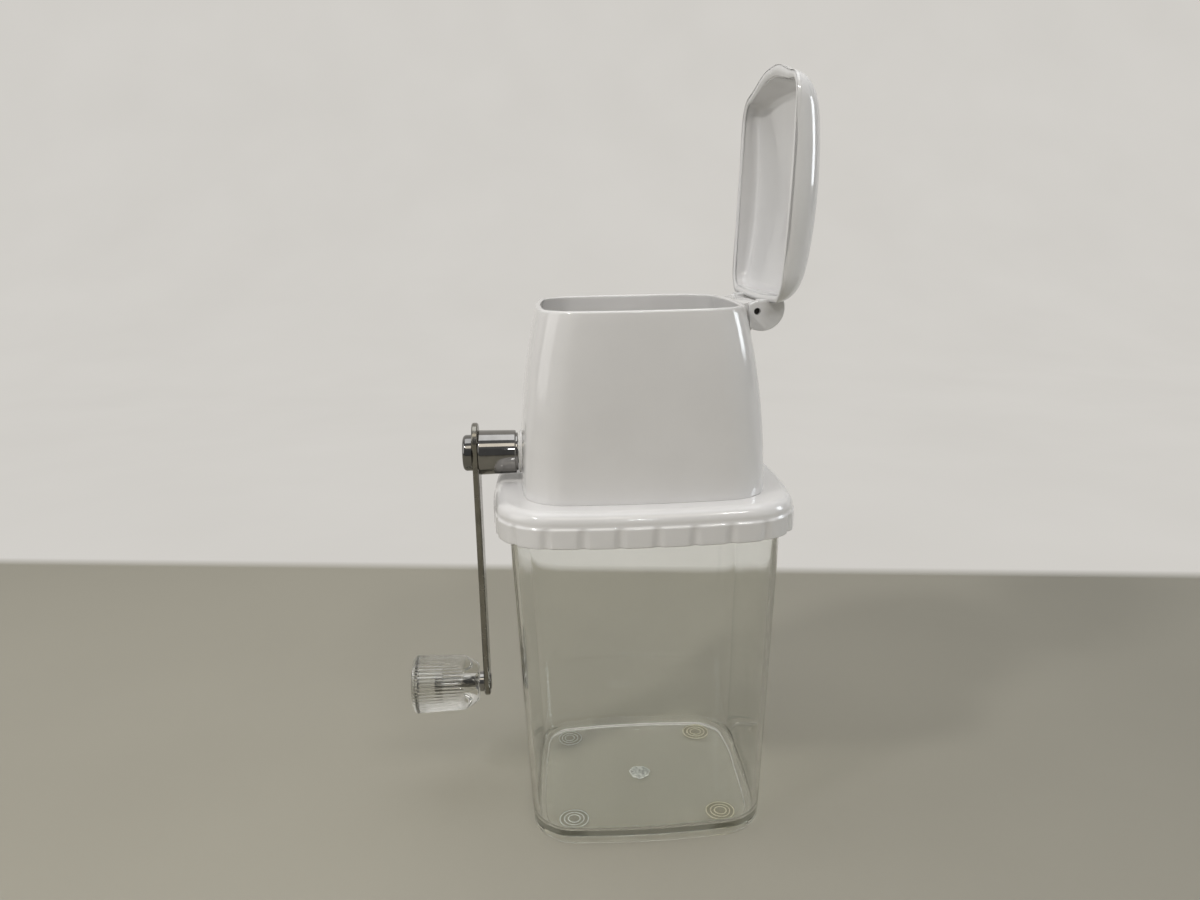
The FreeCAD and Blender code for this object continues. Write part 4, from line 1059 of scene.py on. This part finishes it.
def knob_profile():
    """X, radius and how much of the flutes shows, from the neck over the outside and into the mouth."""
    edge = KNOB_NECK_EDGE_R
    profile = [(KNOB_INNER_X, KNOB_BORE_R, 0), (KNOB_INNER_X, KNOB_NECK_R - edge, 0),
               (KNOB_INNER_X - 0.15 * edge, KNOB_NECK_R - 0.4 * edge, 0),
               (KNOB_INNER_X - edge, KNOB_NECK_R + 0.2 * edge, 0)]
    for share in (0.3, 0.6, 0.9):
        x = KNOB_INNER_X + (KNOB_SHOULDER_X - KNOB_INNER_X) * share
        profile.append((x, KNOB_NECK_R + (KNOB_SHOULDER_R - KNOB_NECK_R) * share, 0))
    body_end = KNOB_OUTER_X + KNOB_EDGE_R
    for x in levels(KNOB_SHOULDER_X, body_end, 10):
        share = (x - KNOB_SHOULDER_X) / (KNOB_OUTER_X - KNOB_SHOULDER_X)
        shown = smooth_step((KNOB_SHOULDER_X - x) / FLUTE_START)
        profile.append((x, KNOB_SHOULDER_R + (KNOB_END_R - KNOB_SHOULDER_R) * share, shown))
    for along, drawn_in in quarter_turn(KNOB_EDGE_R, 8)[1:]:
        profile.append((body_end - along, KNOB_END_R - drawn_in, max(0.0, 1 - along / KNOB_EDGE_R)))
    return profile + [(KNOB_OUTER_X, KNOB_MOUTH_R + KNOB_MOUTH_BREAK, 0),
                      (KNOB_OUTER_X + KNOB_MOUTH_BREAK, KNOB_MOUTH_R, 0),
                      (KNOB_MOUTH_X, KNOB_MOUTH_R, 0), (KNOB_MOUTH_X, KNOB_BORE_R, 0)]


def make_knob():
    """The clear grip: a smooth cone by the arm, then a body with fine flutes, and a deep mouth at its end."""
    mesh = turned(knob_profile(), KNOB_Z, FLUTE_COUNT * FLUTE_POINTS, flute)
    add_piece("knob_body", mesh, "knob", KNOB_CLEAR, ["crank_knob"], sharp_degrees=40)


# ---- pieces that keep their CAD mesh ----

FINISHES = {
    "collar_screws": SCREW_METAL,
    "comb_screws": SCREW_METAL,
    "crank_side_bush": NYLON,
    "far_side_bush": NYLON,
    "front_comb": STAINLESS,
    "back_comb": STAINLESS,
    "breaker_plates": STAINLESS,
    "plate_spacers": SHAFT_METAL,
    "drive_shaft": SHAFT_METAL,
    "shaft_clip": SHAFT_METAL,
    "crank_arm": ARM_METAL,
    "knob_spindle": CHROME,
    "hinge_pin": PIN_METAL,
}


def finish_nodes():
    for name, material in FINISHES.items():
        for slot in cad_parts[name].material_slots:
            slot.material = material


# ---- stage and light ----

def floor_paint():
    """A plain painted table top that keeps the shadows, with a painted shadow darkening it towards +X, and
    past its far edge the paler backdrop.
    """
    material, shader = principled("floor_paint", Roughness=0.8)
    place = add_node(material, "ShaderNodeTexCoord")
    mapping = add_node(material, "ShaderNodeMapping", Rotation=(0, 0, TABLE_TURN))
    split = add_node(material, "ShaderNodeSeparateXYZ")
    join(place.outputs["Object"], mapping, "Vector")
    join(mapping.outputs["Vector"], split, "Vector")
    edge = (TABLE_EDGE - TABLE_EDGE_BLUR, TABLE_EDGE + TABLE_EDGE_BLUR)
    beyond = spread(material, split.outputs["Y"], 0.0, 1.0, *edge)
    tone = noise(material, 5, 4)
    mottle = spread(material, tone, 0.0, 0.2)
    # painted shadow: the table's colour darkens towards +X, on top of its random mottle
    far_side = spread(material, split.outputs["X"], 0.0, 0.8, -0.1, 0.3)
    shade = calculate(material, "ADD", mottle, far_side)
    join(colours(material, shade, [(0.0, TABLE_LIGHT), (1.0, TABLE_SHADE)]), shader, "Base Color")
    glow = add_node(material, "ShaderNodeEmission")
    join(colours(material, tone, [(0.3, BACKDROP_SHADE), (0.7, BACKDROP_LIGHT)]), glow, "Color")
    share = calculate(material, "MULTIPLY", seen_or_mirrored(material), beyond)
    show(material, mix_shaders(material, share, shader.outputs["BSDF"], glow.outputs["Emission"]))
    return material


def seen_or_mirrored(material):
    """1 where the camera looks, straight or by way of gloss or glass, and 0 for all other light."""
    path = add_node(material, "ShaderNodeLightPath")
    seen = path.outputs["Is Camera Ray"]
    for kind in ("Is Glossy Ray", "Is Transmission Ray"):
        seen = calculate(material, "MAXIMUM", seen, path.outputs[kind])
    return seen


def make_stage():
    """A floor that sweeps up into a backdrop."""
    line = [(y, TABLE_TOP) for y in (*FLOOR_FRONT, BEND_START)]
    for i in range(1, BEND_STEPS + 1):
        turn = QUARTER * i / BEND_STEPS
        line.append((BEND_START + BEND_R * math.sin(turn), TABLE_TOP + BEND_R * (1 - math.cos(turn))))
    line.append((BEND_START + BEND_R, BACKDROP_TOP))
    mesh = bmesh.new()
    rows = [[mesh.verts.new((x, y, z)) for x in levels(-FLOOR_HALF_W, FLOOR_HALF_W, 8)] for y, z in line]
    for low, high in zip(rows, rows[1:]):
        for i in range(len(low) - 1):
            mesh.faces.new((low[i], low[i + 1], high[i + 1], high[i]))
    floor = new_object("floor", mesh, floor_paint())


def add_lamp(name, place, size, watts, colour):
    """A rectangular lamp that faces the object."""
    data = bpy.data.lights.new(name, "AREA")
    data.shape = "RECTANGLE"
    data.size, data.size_y = size
    data.energy = watts
    data.color = colour
    lamp = bpy.data.objects.new(name, data)
    lamp.location = place
    aim = LIT_POINT - Vector(place)
    lamp.rotation_euler = aim.to_track_quat("-Z", "Y").to_euler()
    bpy.context.scene.collection.objects.link(lamp)


def add_lamps():
    warm = (1.0, 0.92, 0.78)
    plain = (1.0, 0.985, 0.96)
    add_lamp("front_panel", place=(-0.02, -0.8, 1.1), size=(0.9, 0.36), watts=2.1, colour=warm)
    add_lamp("low_window", place=(0.1, -1.2, 0.77), size=(0.1, 0.07), watts=1.2, colour=(0.95, 0.98, 1.0))
    add_lamp("ceiling_crank_side", place=(-0.85, -0.62, 1.15), size=(0.15, 0.1), watts=4.7, colour=plain)
    add_lamp("ceiling_far_side", place=(0.5, -0.85, 1.2), size=(0.14, 0.1), watts=1.5, colour=plain)
    add_lamp("window", place=(1.25, 0.0, 0.5), size=(0.28, 0.45), watts=3.2, colour=(0.9, 0.95, 1.0))
    add_lamp("side_fill", place=(-1.3, -0.12, 0.6), size=(0.8, 0.9), watts=3.2, colour=plain)
    add_lamp("overhead", place=(0.0, 0.15, 1.6), size=(1.6, 1.0), watts=8.6, colour=(0.98, 0.99, 1.0))


def add_world():
    """Soft grey light from all round, a little stronger from above."""
    world = bpy.data.worlds.new("studio")
    world.use_nodes = True
    place = add_node(world, "ShaderNodeTexCoord")
    split = add_node(world, "ShaderNodeSeparateXYZ")
    join(place.outputs["Generated"], split, "Vector")
    height = spread(world, split.outputs["Z"], 0.0, 1.0, -1.0, 1.0)
    greys = [(position, (level, level, level)) for position, level in WORLD_LEVELS]
    join(colours(world, height, greys), world.node_tree.nodes["Background"], "Color")
    bpy.context.scene.world = world


# ---- the scene ----

add_camera()
make_container()
make_gate_mark()
make_foot_pads()
make_collar()
make_hopper_shell()
make_comb_shelves()
make_bearing_bosses()
make_knuckle()
make_lid()
make_lugs()
make_sleeve()
make_cap_nut()
make_knob()
finish_nodes()
make_stage()
add_lamps()
add_world()
bpy.context.scene.view_settings.view_transform = "Standard"

bpy.context.view_layer.update()
